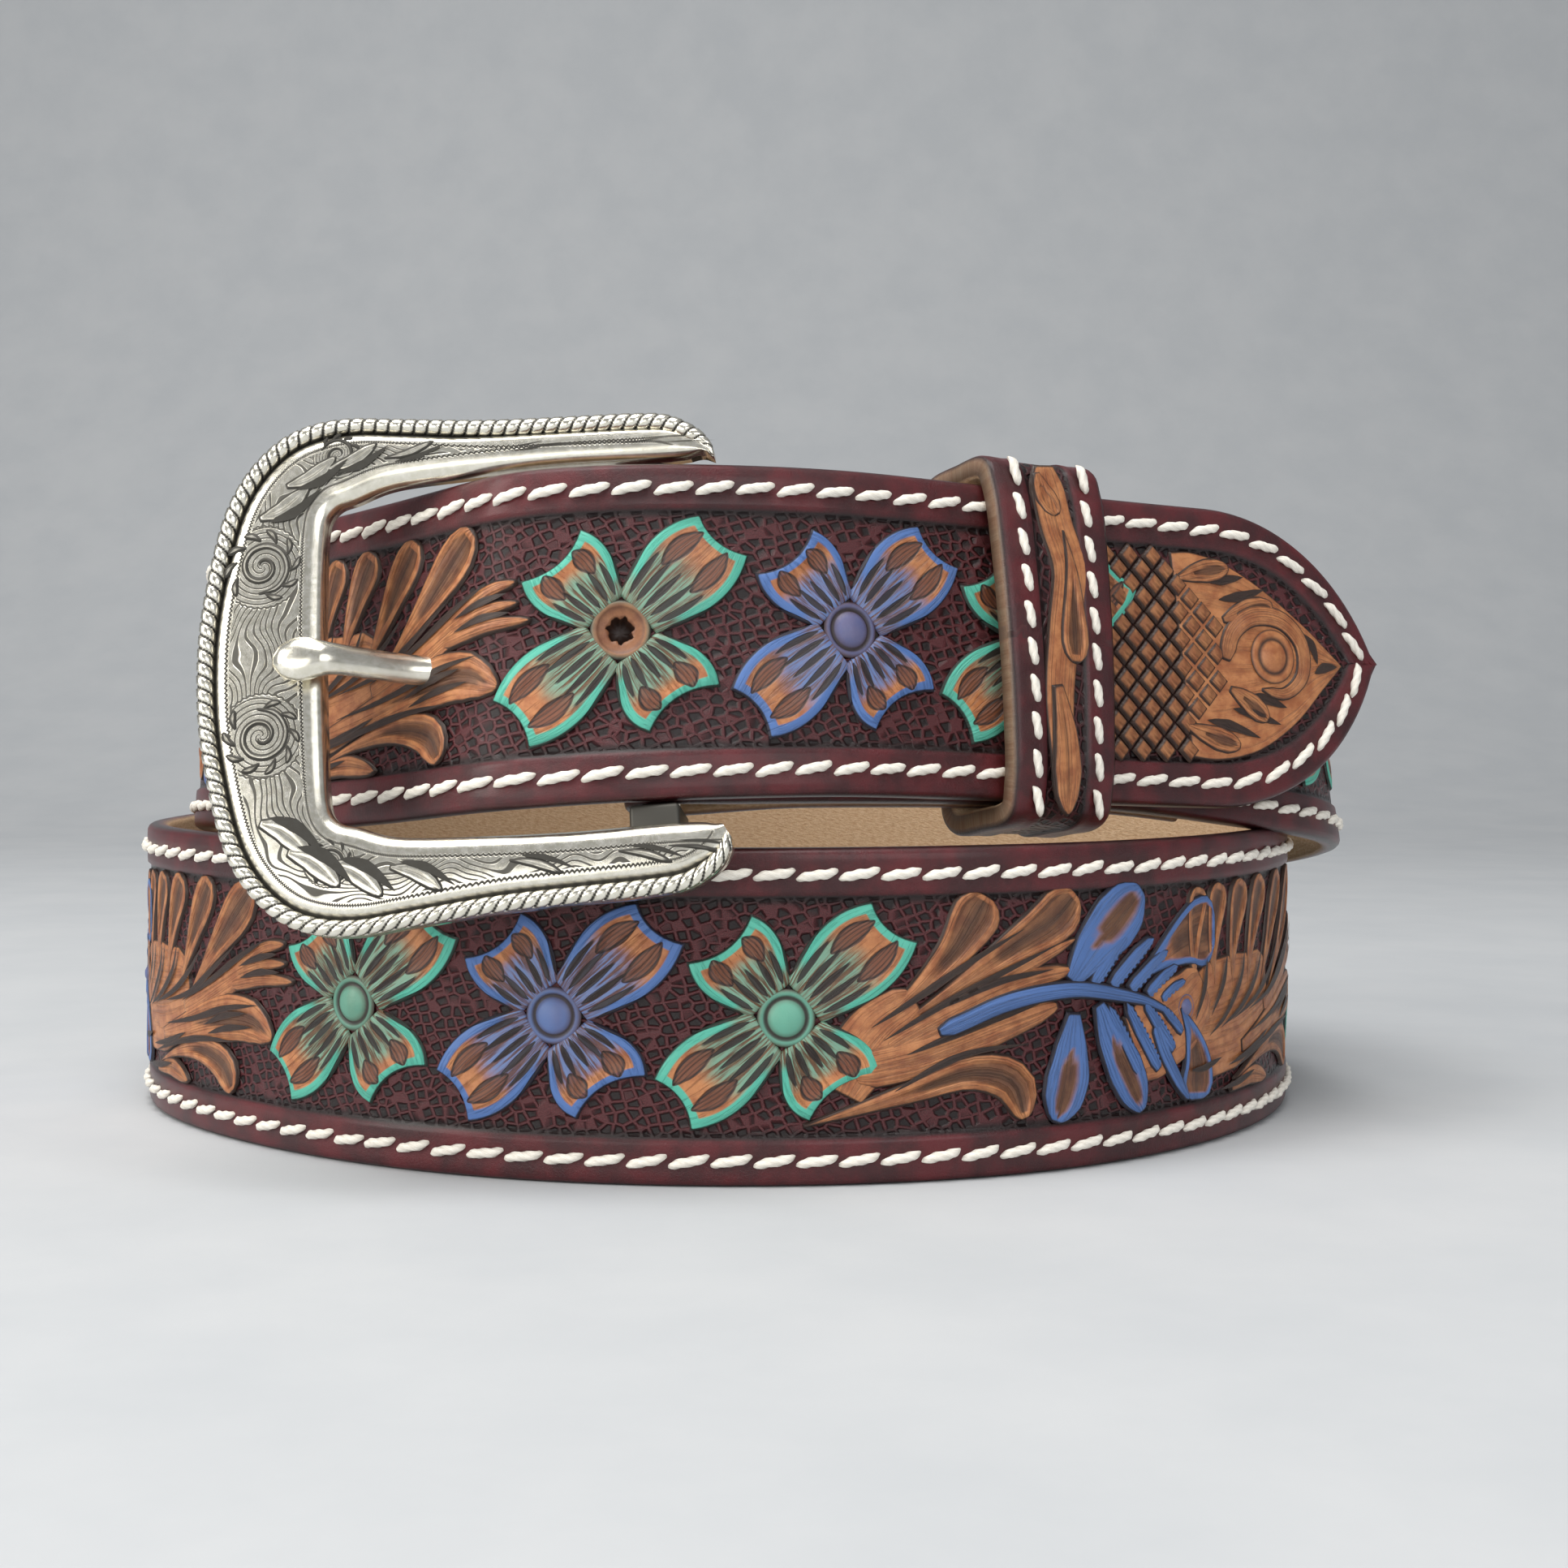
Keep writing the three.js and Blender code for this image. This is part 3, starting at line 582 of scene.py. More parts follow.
# %% [markdown]
# A flower has four petals that meet round its centre, bulge at their sides and end in two sharp corners
# with a shallow scoop between them. A painted line runs round each, and the colour fades from the centre
# to tan leather at its end. The repeat of the pattern along the strap is fixed, as it would be
# with a stamped template: three flowers, then leaves and a feather, then a fan of loops.

# %% Flowers
pattern_period = 165.73
first_flower = 438.8
flower_steps = (0.0, 27.0, 53.5)
turquoise_pick, blue_pick, feather_pick = 1, 2, 3
# for each petal: the two corners of its end, from the flower's centre, and how far its sides bulge
petal_rows = (
    ((9.8, 13.0), (15.2, 8.4), 2.3),
    ((-11.2, 6.3), (-4.0, 11.7), 1.7),
    ((10.9, -6.7), (2.7, -11.7), 2.0),
    ((-10.8, -12.7), (-15.0, -7.0), 2.1),
)
petal_base_radius = 2.7
petal_base_half = 3.0
petal_insets = (0, 0.15, 0.32, 1.08, 1.26)
petal_lift = 0.17


def petal_relief(u, v, inset):
    rise, _ = shoulder(inset)
    hollow = smooth_range(v, 0.08, 0.4) * (1 - smooth_range(v, 0.6, 0.95)) * (1 - u ** 2)
    rim = 1 - smooth_range(inset, 0.9, 1.9)
    rise = rise - 0.17 * hollow + 0.05 * rim * smooth_range(inset, 0.3, 0.6)
    dark = (1 - smooth_range(inset, 0.10, 0.32)) * smooth_range(v, 0.06, 0.2)
    line = 1 - smooth_range(inset, 1.10, 1.25)
    fade = 1 - smooth_range(v + 0.12 * np.abs(u), 0.48, 0.74)
    return rise, dark, line * smooth_range(v, 0.12, 0.26), fade


def flower(piece, centre, pick):
    for first, second, bulge in petal_rows:
        first, second = np.array(first), np.array(second)
        aim = (first + second) / np.linalg.norm(first + second)
        side = np.array([-aim[1], aim[0]])
        if np.dot(first - second, side) < 0:
            side = -side

        def edge(corner, sign):
            start = aim * petal_base_radius + side * sign * petal_base_half
            bow = side * sign * bulge
            return lambda v: (centre + start + (corner - start) * v[:, None]
                              + bow * (4 * v * (1 - v) * (0.65 + 0.35 * v))[:, None])
        scoop = 0.16 * np.linalg.norm(first - second)
        patch(piece, edge(first, 1), edge(second, -1), petal_relief, raised(petal_lift), petal_insets,
              columns=22, row_count=30, end_curve=scoop, pick=pick)


petals = Piece("flower_petals")
centres = Piece("flower_centres")
repeat_starts = [first_flower + pattern_period * number for number in range(-2, 4)]
flower_places = [
    (start + step_on, pick) for start in repeat_starts
    for step_on, pick in zip(flower_steps, (turquoise_pick, blue_pick, turquoise_pick))]
for where, pick in flower_places:
    flower(petals, np.array([where, 0.0]), pick)
print("flowers:", len(flower_places))

# %% [markdown]
# The middle of a flower is a domed stud of leather inside a stamped ring. The ring and the dome are one
# round sheet, whose rows are circles. Round a punched hole the leather slopes down in a brown ring to a
# ragged edge of loose fibres; the hole's walls and a black disc sunk inside it are painted shade, which
# closes the hole.

# %% Flower centres
# distance from the middle, height, how dark, how painted
centre_profile = np.array([
    (0.0, 0.80, 0, 1), (0.8, 0.76, 0, 1), (1.5, 0.58, 0.12, 1), (2.0, 0.32, 0.45, 0.9),
    (2.25, 0.10, 1, 0.6), (2.45, 0.16, 0.8, 0.8), (2.7, 0.36, 0.35, 1), (2.95, 0.34, 0.4, 0.9),
    (3.2, 0.20, 0.7, 0.6), (3.3, 0.1, 0.9, 0.4),
])


def flower_centre(piece, where, pick, profile=centre_profile, scale=1.0, ragged=0.0):
    sides = 36

    def place(across, along):
        index = np.round(along * (len(profile) - 1)).astype(int)
        reach_out, rise, dark, paint = profile[index].T
        angle = 2 * np.pi * across
        tatter = 0.6 * np.sin(7 * angle) + 0.4 * np.sin(11 * angle + 1)
        reach_out = reach_out * (1 + ragged * tatter * (1 - smooth_range(reach_out, 1.3, 2.0)))
        s = where[0] + scale * reach_out * np.cos(angle)
        h = where[1] + scale * reach_out * np.sin(angle)
        layers = layers_of(len(s), at=(s, h, rise), form=(0, 0, pick), tone=(dark, paint * 0.5, paint))
        return on_strap(s, h, rise + petal_lift), layers
    piece.sheet(sides, len(profile) - 1, place)


# rows up to 1.45 mm are the hole's black walls and a black disc sunk in it: painted shade that closes the
# hole; beyond them the brown rim
hole_rim_and_painted_shade = np.array([
    (0.0, -2.3, 1, 0), (1.1, -2.3, 1, 0), (1.45, -0.6, 1, 0), (1.5, -0.16, 0.6, 0), (1.8, -0.10, 0.52, 0),
    (2.3, 0.0, 0.55, 0), (2.6, 0.14, 0.65, 0), (2.8, 0.30, 0.45, 0.1), (3.1, 0.30, 0.5, 0.3),
    (3.3, 0.16, 0.8, 0.6), (3.4, 0.05, 0.9, 0.4)])
for where, pick in flower_places:
    holed = min(abs(where - (first_hole - hole_pitch * number)) for number in range(hole_count)) < 1.0
    profile = hole_rim_and_painted_shade if holed else centre_profile
    flower_centre(centres, (where, 0.0), pick, profile, ragged=0.22 * holed)

# %% [markdown]
# The fan, the leaves and the feather are charted. Each row is one blade: its kind, its width and a few
# points of its centre line, measured from the first flower of its repeat. The slits part the forms.

# %% Fan of loops
fan_rows = (
    ("body", 15, ((-56, -4), (-50, -3.6), (-43, -3), (-34, -1.2))),
    ("loop", 4.6, ((-55.5, -1), (-56, 4), (-55.6, 9), (-54.6, 13))),
    ("loop", 5, ((-51, -1), (-51.6, 4), (-51, 9), (-49.6, 13.2))),
    ("loop", 5.4, ((-46.5, -1), (-46.4, 4), (-45.2, 9), (-43.4, 13.3))),
    ("loop", 5.6, ((-42, -1), (-41, 4), (-39, 9), (-36.4, 13.3))),
    ("loop", 5.6, ((-37.5, -1.4), (-34.6, 3.4), (-31.6, 8.4), (-28, 13.4))),
    ("loop", 6.4, ((-34, -1.6), (-28.6, 3.2), (-23.4, 8), (-18, 13))),
    ("stem", 4.6, ((-36, -4), (-29, -1.4), (-22, 1.6), (-15.5, 4.6))),
    ("stem", 2.2, ((-22, 2.6), (-16, 5.4), (-11.6, 6.3))),
    ("stem", 2, ((-22, 1.8), (-16, 3.4), (-11.4, 3.9))),
    ("stem", 2.2, ((-23, 0.4), (-16, 1.6), (-10, 1.8))),
    ("petal", 6.4, ((-44, -8), (-36, -6.4), (-27, -4.2), (-19.5, -3.6), (-14, -5.4))),
    ("loop", 5.4, ((-46, -12), (-38, -9.6), (-31, -8.6), (-25.2, -9.8), (-22.8, -13))),
    ("leaf", 3, ((-47, -13), (-40.5, -12), (-34.5, -13))),
)
fan_slits = (
    ((-15.5, 6.4), (-21, 3.9), (-28, 0.4), (-36, -2.8)),
    ((-21.6, 5.4), (-27.5, 1.8), (-34, -1.6), (-42, -3.4)),
    ((-30, 4.6), (-34, 1), (-39.5, -2), (-47, -4.2)),
    ((-37.5, 4.4), (-39.6, 0.6), (-44.5, -2.8), (-50, -4.8)),
    ((-43.6, 4.4), (-44.6, 0.8), (-48.6, -3.2), (-53, -5.6)), ((-48.6, 4.2), (-49.6, 0.6), (-52.6, -3.2)),
    ((-53.6, 4), (-54.2, 0.4), (-56.2, -3.4)), ((-17, -1.6), (-24, -2.6), (-32, -4.6), (-42, -6.4)),
    ((-22, -6.6), (-30, -7), (-38, -8.4), (-47, -10.6)), ((-35, -6.8), (-41, -8.6), (-48, -9.8)),
    ((-12.8, 5), (-16.5, 4.3), (-20.5, 3)), ((-12.4, 2.8), (-16.5, 2.5), (-20.5, 1.5)),
    ((-19.5, -2.8), (-24.5, -3.6), (-29.5, -5.2)), ((-18.2, -4.4), (-23.5, -5), (-28.5, -6.2)),
    ((-40, -11.4), (-45, -12.2), (-50, -12.6)), ((-50, -8.6), (-54, -9.4), (-57, -9.4)),
)
leaf_rows = (
    ("body", 7.6, ((59.4, -8.6), (61.6, -4.6), (64.4, -1.2), (68.6, 1.6))),
    ("loop", 6.6, ((63, -1.6), (68.2, 2.6), (72.6, 6.8), (75.2, 10.4), (77, 13.4))),
    ("loop", 6.6, ((66, -1.4), (74, 3.6), (80.5, 7.4), (85.6, 10.2), (89, 13.2))),
    ("stem", 2.6, ((66, -2.6), (74, 1.4), (82, 5), (89, 8))),
    ("stem", 3.8, ((65, -3.8), (73, 0), (81, 3.2), (88.6, 4.4))),
    ("stem", 5.2, ((61, -6.2), (69, -4.6), (77, -2.2), (86.5, 0.4))),
    ("loop", 5.4, ((55.4, -12.2), (61, -10.6), (68, -8.6), (75, -6.8), (80.4, -8.2), (82, -12.6))),
)
leaf_slits = (
    ((63.1, -1.2), (68.4, 2), (75, 6), (81.6, 9.4)), ((64.5, -2.7), (71, 0.9), (78.1, 4.2), (86.5, 7.6)),
    ((70.8, 0.6), (78, 3.4), (85.6, 4.6)), ((67.2, -4.4), (74, -2), (84.5, 1)),
    ((65.8, -8.5), (70.5, -6), (75.2, -4.4), (82.4, -3.8)),
)
slit_width = 0.95
layer_lift = 0.02
carved = Piece("carved_leaves")


def carve(piece, table, slits, origin):
    """Lays the rows over one another, then cuts the dark slits that part them."""
    for number, (kind, wide, line) in enumerate(table):
        blade(piece, line, wide, kind, lay=raised(number * layer_lift), shift=(origin, 0))
    for line in slits:
        blade(piece, line, slit_width, "slit", lay=raised(len(table) * layer_lift), shift=(origin, 0))


# %% [markdown]
# The feather is painted blue. Its quill sweeps up from the leaves, short barbs with toothed gaps stand
# above and below it, and long petals hang below.

# %% Feather
quill_line = ((70.9, -2), (74.2, -0.8), (78.2, 0.7), (82.2, 1.6), (86.2, 2), (90.2, 1.9), (95.2, 1),
              (100.2, -0.2), (105.4, -2.4))
feather_rows = (
    ("body", 11, ((98, -6), (103, -4), (108, -2), (112, 1)), 0, 0),
    ("loop", 9.4, ((99, 2.6), (104, 5.2), (109.4, 7.2), (114.6, 7.4)), 1, 0),
    ("petal", 8, ((88.2, 2.8), (91.4, 6.6), (95.4, 10), (99.4, 13.4)), 1, 1),
    ("barb", 2.5, ((91.4, 2.2), (94, 5), (97.2, 8.2)), 1, 1),
    ("barb", 2.5, ((94.2, 1.8), (98, 4.9), (101.6, 7.4)), 1, 1),
    ("barb", 2.4, ((97.2, 1.2), (101, 3.7), (104.2, 5.7)), 1, 1),
    ("barb", 2.2, ((100.2, 0.4), (103.2, 2.3), (106.2, 3.7)), 1, 1),
    ("barb", 1.9, ((102.8, -0.4), (105.2, 0.9), (107.8, 1.7)), 1, 1),
    ("loop", 7.4, ((106.6, -1.4), (109, -5), (110.4, -9), (110.2, -13.4)), 1, 0),
    ("petal", 6.6, ((88.6, -0.6), (88.2, -4.8), (87.6, -9), (86, -13.4)), 1, 1),
    ("petal", 6, ((92.2, 0.2), (94.2, -4), (97, -8.6), (99.6, -13.4)), 1, 1),
    ("barb", 2.4, ((99.4, -9), (96.6, -4.6), (93.6, 0)), 1, 1),
    ("barb", 2.4, ((102.6, -8.6), (99.6, -4.4), (96.4, 0.2)), 1, 1),
    ("barb", 2.3, ((105.4, -6.6), (102.4, -3.2), (99.4, 0)), 1, 1),
    ("stem", 2.4, ((101.6, -3), (103.4, -6.6), (106, -10.2), (108.4, -13)), 1, 1),
    ("barb", 1.8, ((107, -4.6), (104.8, -2.6), (102.4, -0.8)), 1, 1),
    ("stem", 2.5, quill_line, 1, 1),
)
feather_lift = 0.1
feather_knob = (107.8, -1.6)
feathers = Piece("feathers")


def feather(piece, origin):
    for number, (kind, wide, line, paint, cover) in enumerate(feather_rows):
        blade(piece, line, wide, kind, lay=raised(feather_lift + number * layer_lift), pick=feather_pick,
              paint=paint, cover=cover, shift=(origin, 0))
    flower_centre(piece, (origin + feather_knob[0], feather_knob[1]), feather_pick, scale=0.55)


for start in repeat_starts:
    carve(carved, fan_rows, fan_slits, start)
for start in repeat_starts[:-1]:
    carve(carved, leaf_rows, leaf_slits, start)
    feather(feathers, start)

# %% [markdown]
# At the tip the pattern ends differently: a field of scales, then a tan ornament with a curl that fills
# the point, with slits fanning out from the curl.

# %% Tip ornament
tip_upper = ((1009.5, 13), (1013, 13.2), (1018, 12), (1024, 9), (1030, 5), (1034.5, 1.5), (1036.8, -0.4))
tip_lower = ((1011.5, -13), (1016, -13.3), (1022, -12), (1028, -8.5), (1033, -4), (1035.5, -1.8),
             (1036.8, -0.6))
tip_rows = (
    ("petal", 3.4, ((1010.4, 9.6), (1014, 10.6), (1018.6, 11.4))),
    ("petal", 3.6, ((1017, 4.6), (1020.4, 5.8), (1025.4, 7))),
    ("petal", 3.4, ((1017.6, -4), (1020.4, -5.6), (1023.6, -8))),
    ("petal", 3.4, ((1010.8, -9), (1014.6, -10.2), (1019, -11.4))),
    ("stem", 3, ((1017.2, -0.6), (1018.6, 3.2), (1022, 5.4), (1026.6, 5), (1029.6, 2), (1029.4, -2),
                 (1026.4, -4.4), (1022.6, -4))),
)
tip_slits = (
    ((1014.6, 9.5), (1017.5, 9.8), (1020.6, 10.3)), ((1016.6, 7.2), (1020, 7.8), (1024, 8.9)),
    ((1021.5, -4.6), (1023.6, -5.3), (1026.5, -6.2)), ((1018, -6.6), (1021.4, -7.3), (1025.4, -8.4)),
    ((1014, -8.2), (1017.6, -8.8), (1022, -10.2)), ((1029.4, 3.6), (1031.4, 2), (1032.2, -0.4)),
    ((1031.6, -1.6), (1033.4, -0.8), (1035.6, -0.6)),
)
tip_lift, tip_slit_lift = 0.24, 0.08
tip_ornament = Piece("tip_ornament")


def smooth_edge(points):
    return lambda v: catmull(points, v)


patch(tip_ornament, smooth_edge(tip_upper), smooth_edge(tip_lower), blade_relief("body", 0, 0, 1), on_strap,
      columns=40, row_count=40)
for number, (kind, wide, line) in enumerate(tip_rows):
    blade(tip_ornament, line, wide, kind, lay=raised(tip_lift + number * layer_lift), fine=1.3)
for line in tip_slits:
    blade(tip_ornament, line, 1.5 * slit_width, "slit", lay=raised(tip_slit_lift))
knob_profile = np.array([
    (0, 0.85, 0, 0), (0.9, 0.80, 0, 0), (1.7, 0.64, 0.1, 0), (2.2, 0.42, 0.85, 0), (2.5, 0.45, 0.5, 0),
    (2.8, 0.54, 0.1, 0), (3.2, 0.50, 0.2, 0), (3.5, 0.38, 0.9, 0)])
flower_centre(tip_ornament, (1024.7, 0.3), 0, knob_profile)

scale_pitch = 2.45
scale_field_middle, scale_start, scale_reach = 1009, 992, 12.6
scale_turn = math.radians(47)
# the scales' far boundary: height and length
scale_end = np.array([
    (-13, 1011), (-10, 1011), (-7.5, 1012), (-5, 1016), (1, 1017.3), (3.5, 1017), (6.5, 1015),
    (7.5, 1011.5), (10.5, 1009), (13, 1008)])
scale_lift = 0.34
scales = Piece("tip_scales")
scale_square = scale_pitch * 0.98


def scale_relief(u, v, inset):
    rise, dark = shoulder(inset, 0.5)
    tilt = 0.12 * (1 - v) + 0.10 * (u + 1) / 2
    return rise - tilt, np.maximum(dark * 0.9, 0.36), 0 * u, 0 * u


def scale_edge(start):
    return lambda v: start + scale_b * (v * scale_square)[:, None]


scale_a = np.array([math.cos(scale_turn), math.sin(scale_turn)])
scale_b = np.array([-scale_a[1], scale_a[0]])
for i in range(-14, 15):
    for j in range(-14, 15):
        s, h = np.array([scale_field_middle, 0]) + scale_pitch * (i * scale_a + j * scale_b)
        if abs(h) > scale_reach or s < scale_start or s > np.interp(h, *scale_end.T) + 0.2:
            continue
        corner = np.array([s, h]) - (scale_a + scale_b) * scale_square / 2
        patch(scales, scale_edge(corner), scale_edge(corner + scale_a * scale_square), scale_relief,
              raised(scale_lift), (0, 0.25, 0.5), columns=6, row_count=6)


# %% Finish the carved pieces
def carving(piece):
    made = piece.finish(merge=0, outward=False)
    return made


carvings = [carving(piece) for piece in (petals, centres, carved, feathers, tip_ornament, scales)]

# %% [markdown]
# The stitching is thick white thread in a lock stitch. Each stitch is a short twisted cord that rises to
# the right and dives into the leather at both ends. They are real threads here, since the light catches
# their twist.

# %% Stitches
stitch_inset = 3.0
stitch_pitch = 4.8
stitch_length = 4.9
stitch_radius = 0.56
stitch_slant = math.radians(14)
thread_lay = 1.7


def stitch_path():
    """Flat points of the stitch line: up the upper border, round the tip and back along the lower one."""
    s = np.concatenate([
        np.linspace(3, strap_length - tip_length, 400),
        strap_length - tip_length * (1 - np.linspace(0.01, 1, 200))])
    half = half_width(s)
    slope = np.gradient(half, s)
    size = np.sqrt(1 + slope ** 2)
    line = np.column_stack([s + slope / size * stitch_inset, half - stitch_inset / size])
    line = line[line[:, 1] > 0.6]
    return np.vstack([line, (line * (1, -1))[::-1]])


def thread(piece, middle, heading, lay, length=stitch_length, sides=9, steps=13):
    """One stitch: a twisted three-strand thread, bent like a long flat S, its ends below the surface."""
    side = np.array([-heading[1], heading[0]])
    start_angle = random.uniform(0, 2 * np.pi)
    wobble = random.uniform(-0.12, 0.12)

    def place(across, along):
        run = (along - 0.5) * length
        bend = -0.10 * np.sin(2 * np.pi * (along - 0.5)) + wobble * 0.6
        end = np.abs(2 * along - 1)
        rise = 0.34 - 0.45 * end ** 5
        plump = stitch_radius * (1 - 0.72 * end ** 4)
        angle = 2 * np.pi * across
        lobes = 1 + 0.13 * np.cos(3 * (angle - start_angle) - 2 * np.pi * run / thread_lay)
        off = plump * lobes * np.cos(angle)
        up = rise + plump * lobes * np.sin(angle) * 0.9
        flat = middle + np.outer(run, heading) + np.outer(bend + off, side)
        # dark is painted shade: deeper where the thread sinks towards the leather and in the furrows
        # between its strands
        dark = np.clip(0.55 - up, 0, 1) * 0.6 + 0.35 * (1 - lobes) / 0.13 * 0.5
        s, h = flat.T
        layers = layers_of(len(s), at=(s, h, up), form=(across, run, 0), tone=(np.clip(dark, 0, 1), 0, 0))
        return lay(s, h, up), layers
    piece.sheet(sides, steps, place)


def on_border(length, height, rise):
    return wrap(length, height, 0.08 - rise)


def path_at(length):
    return np.array([np.interp(length, path_length, column) for column in path.T])


path = stitch_path()
path_length = running_length(path)
stitches = Piece("strap_stitching")
stitch_count = int(path_length[-1] / stitch_pitch)
for number in range(stitch_count):
    at = (number + 0.5) * path_length[-1] / stitch_count
    heading = path_at(at + 0.5) - path_at(at - 0.5)
    heading = heading / np.linalg.norm(heading)
    turned = stitch_slant + random.uniform(-0.05, 0.05)
    heading = np.array([heading[0] * math.cos(turned) - heading[1] * math.sin(turned),
                        heading[0] * math.sin(turned) + heading[1] * math.cos(turned)])
    thread(stitches, path_at(at), heading, on_border)
print("stitches along the strap:", stitch_count)

# %% [markdown]
# The keeper is a strip of the same leather, closed to a loop. Its path goes round the layers with tight
# corners and a slightly bowed front. A ring section swept round that closed path makes the loop.

# %% Keeper
keeper_place = 47
keeper_width = 15.5
keeper_wall = 2.8
keeper_clearance = 0.6
keeper_bow = 1.1
keeper_inside = strap_width / 2 + keeper_clearance


def covering(length):
    """Depth of the outer layer's grain face above the grain face at a length of the buckle end."""
    base, along, across, out = axes_at(length)
    tries = np.arange(900, strap_length, 0.25)
    points = wrap(tries, 0, 0)
    nearest = np.argmin(np.linalg.norm(points - np.array(base), axis=1))
    return (Vector(points[nearest]) - base).dot(out) / mm


keeper_front = -(max(covering(keeper_place - keeper_width / 2), covering(keeper_place + keeper_width / 2))
                 + keeper_clearance)
keeper_back = flat_depth + keeper_clearance
print(f"keeper front {keeper_front:.2f} mm, back {keeper_back:.2f} mm")


def front_depth(height):
    return keeper_front - keeper_wall - keeper_bow * np.clip(1 - (height / keeper_inside) ** 2, 0, 1)


# middle line of the wall as depth and height, clockwise from the middle of the front
wall_middle = keeper_wall / 2
keeper_high = keeper_inside + wall_middle
corner_cut = 2.6
near = keeper_front - wall_middle
far = keeper_back + wall_middle
front_heights = np.array([0, 4, 8, 12, 15.5])
half_loop = [(near - keeper_bow * (1 - (h / keeper_inside) ** 2), h) for h in front_heights]
half_loop += [
    (near + 0.15, keeper_high - corner_cut * 1.1),
    (near + corner_cut * 0.35, keeper_high - corner_cut * 0.3),
    (near + corner_cut * 1.1, keeper_high), ((near + far) / 2, keeper_high),
    (far - corner_cut, keeper_high), (far - corner_cut * 0.3, keeper_high - corner_cut * 0.3),
    (far, keeper_high - corner_cut), *((far, h) for h in (14, 10, 5, 0))]
keeper_loop = np.array(half_loop + [(d, -h) for d, h in half_loop[-2:0:-1]])
keeper_loop = np.vstack([keeper_loop, keeper_loop[:1]])
loop_steps = 150


def loop_at(share):
    """Point and outward direction of the keeper's wall, with shares that go once round."""
    padded = np.vstack([keeper_loop[-3:-1], keeper_loop, keeper_loop[1:3]])
    count = len(keeper_loop) - 1
    def at(x):
        return catmull(padded, ((np.mod(x, 1) * count) + 2) / (len(padded) - 1))
    point = at(share)
    heading = unit(at(share + 0.002) - at(share - 0.002))
    return point, np.column_stack([-heading[:, 1], heading[:, 0]])


# half of the front: across the strip, out of the wall's middle, dark, flesh, panel
half_strip = [
    (0, 1.05, 0.1, 0, 1), (2.5, 1.05, 0.5, 0, 1), (3.05, 1.12, 1, 0, 0), (3.3, 1.38, 0.2, 0, 0),
    (4.0, 1.36, 0, 0, 0), (4.7, 1.30, 0.2, 0, 0), (5.4, 1.36, 0, 0, 0), (6.2, 1.4, 0, 0, 0),
    (7.1, 1.38, 0.2, 0, 0), (7.55, 1.15, 0.8, 0, 0), (7.75, 0.55, 0.55, 0.3, 0),
    (7.75, -1.0, 0.75, 0.15, 0),
]
strip_back = [(7.3, -1.4, 0, 1, 0), (0, -1.4, 0, 1, 0), (-7.3, -1.4, 0, 1, 0)]
strip_profile = np.array([(-x, *rest) for x, *rest in half_strip[:0:-1]] + half_strip + strip_back)


def keeper_wall_place(across, along):
    index = np.round(across * len(strip_profile)).astype(int) % len(strip_profile)
    x, off, dark, flesh, panel = strip_profile[index].T
    point, outward = loop_at(along)
    spot = point + outward * off[:, None]
    points = wrap(keeper_place + x, spot[:, 1], spot[:, 0])
    around = along * 2 * (keeper_high * 2 + far - near)
    return points, layers_of(len(x), at=(around, x + 40, 0), tone=(dark, flesh, panel))


keeper_piece = Piece("stitched_keeper")
keeper_piece.sheet(len(strip_profile), loop_steps, keeper_wall_place)
keeper = keeper_piece.finish()
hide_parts("keeper")


def on_keeper(x, height, rise):
    """Flat points of the keeper's front: x across the strip from its middle, and height."""
    return wrap(keeper_place + x, height, front_depth(height) + 0.36 - rise)


keeper_lift = 0.16
keeper_carving = Piece("keeper_carving")
keeper_rows = (
    ("stem", 5.4, ((-0.6, 21), (0.2, 14), (1.6, 8), (0.2, 1), (-1.0, -7), (-0.8, -15), (-0.4, -21))),
    ("petal", 3.4, ((-1.8, 20), (-1.2, 17.5), (0.6, 14.6))),
    ("loop", 4.4, ((0.9, 13), (1.6, 8), (1.5, 2), (1.4, -3.4))),
    ("leaf", 4.6, ((-1.6, -6), (-0.6, -12), (-0.4, -17), (-0.6, -21.5))),
)
for number, (kind, wide, line) in enumerate(keeper_rows):
    lay = lambda x, h, rise, lift=keeper_lift * number: on_keeper(x, h, rise + lift)
    blade(keeper_carving, line, wide, kind, lay=lay, fine=1.5)
carvings.append(carving(keeper_carving))

keeper_stitch_count = 10
keeper_stitch_pitch = 4.4
keeper_stitch_length = 3.7
keeper_stitch_slant = 0.28
keeper_row_place = 4.75
keeper_heading = np.array([-math.sin(keeper_stitch_slant), math.cos(keeper_stitch_slant)])
for side in (-1, 1):
    for number in range(keeper_stitch_count):
        height = (number - (keeper_stitch_count - 1) / 2) * keeper_stitch_pitch
        thread(stitches, np.array([side * keeper_row_place, height]), keeper_heading,
               lambda x, h, rise: on_keeper(x, h, rise + 0.02), length=keeper_stitch_length)
stitches = stitches.finish()

# %% [markdown]
# The buckle is one silver casting. Its rim is lofted between an outer and an inner edge curve, mirrored
# about the prong, as in the frame. A twisted rope of silver runs round the outer edge in its own groove,
# and the plate inside it is engraved.

# %% Buckle edges
buckle_length = 59.8
buckle_height = 60.2
buckle_depth = 3.6
bar_setback = 7.4
frame_drop = 2.4
opening_drop = 1.2
rope_radius = 0.95
buckle_yaw = math.radians(5)
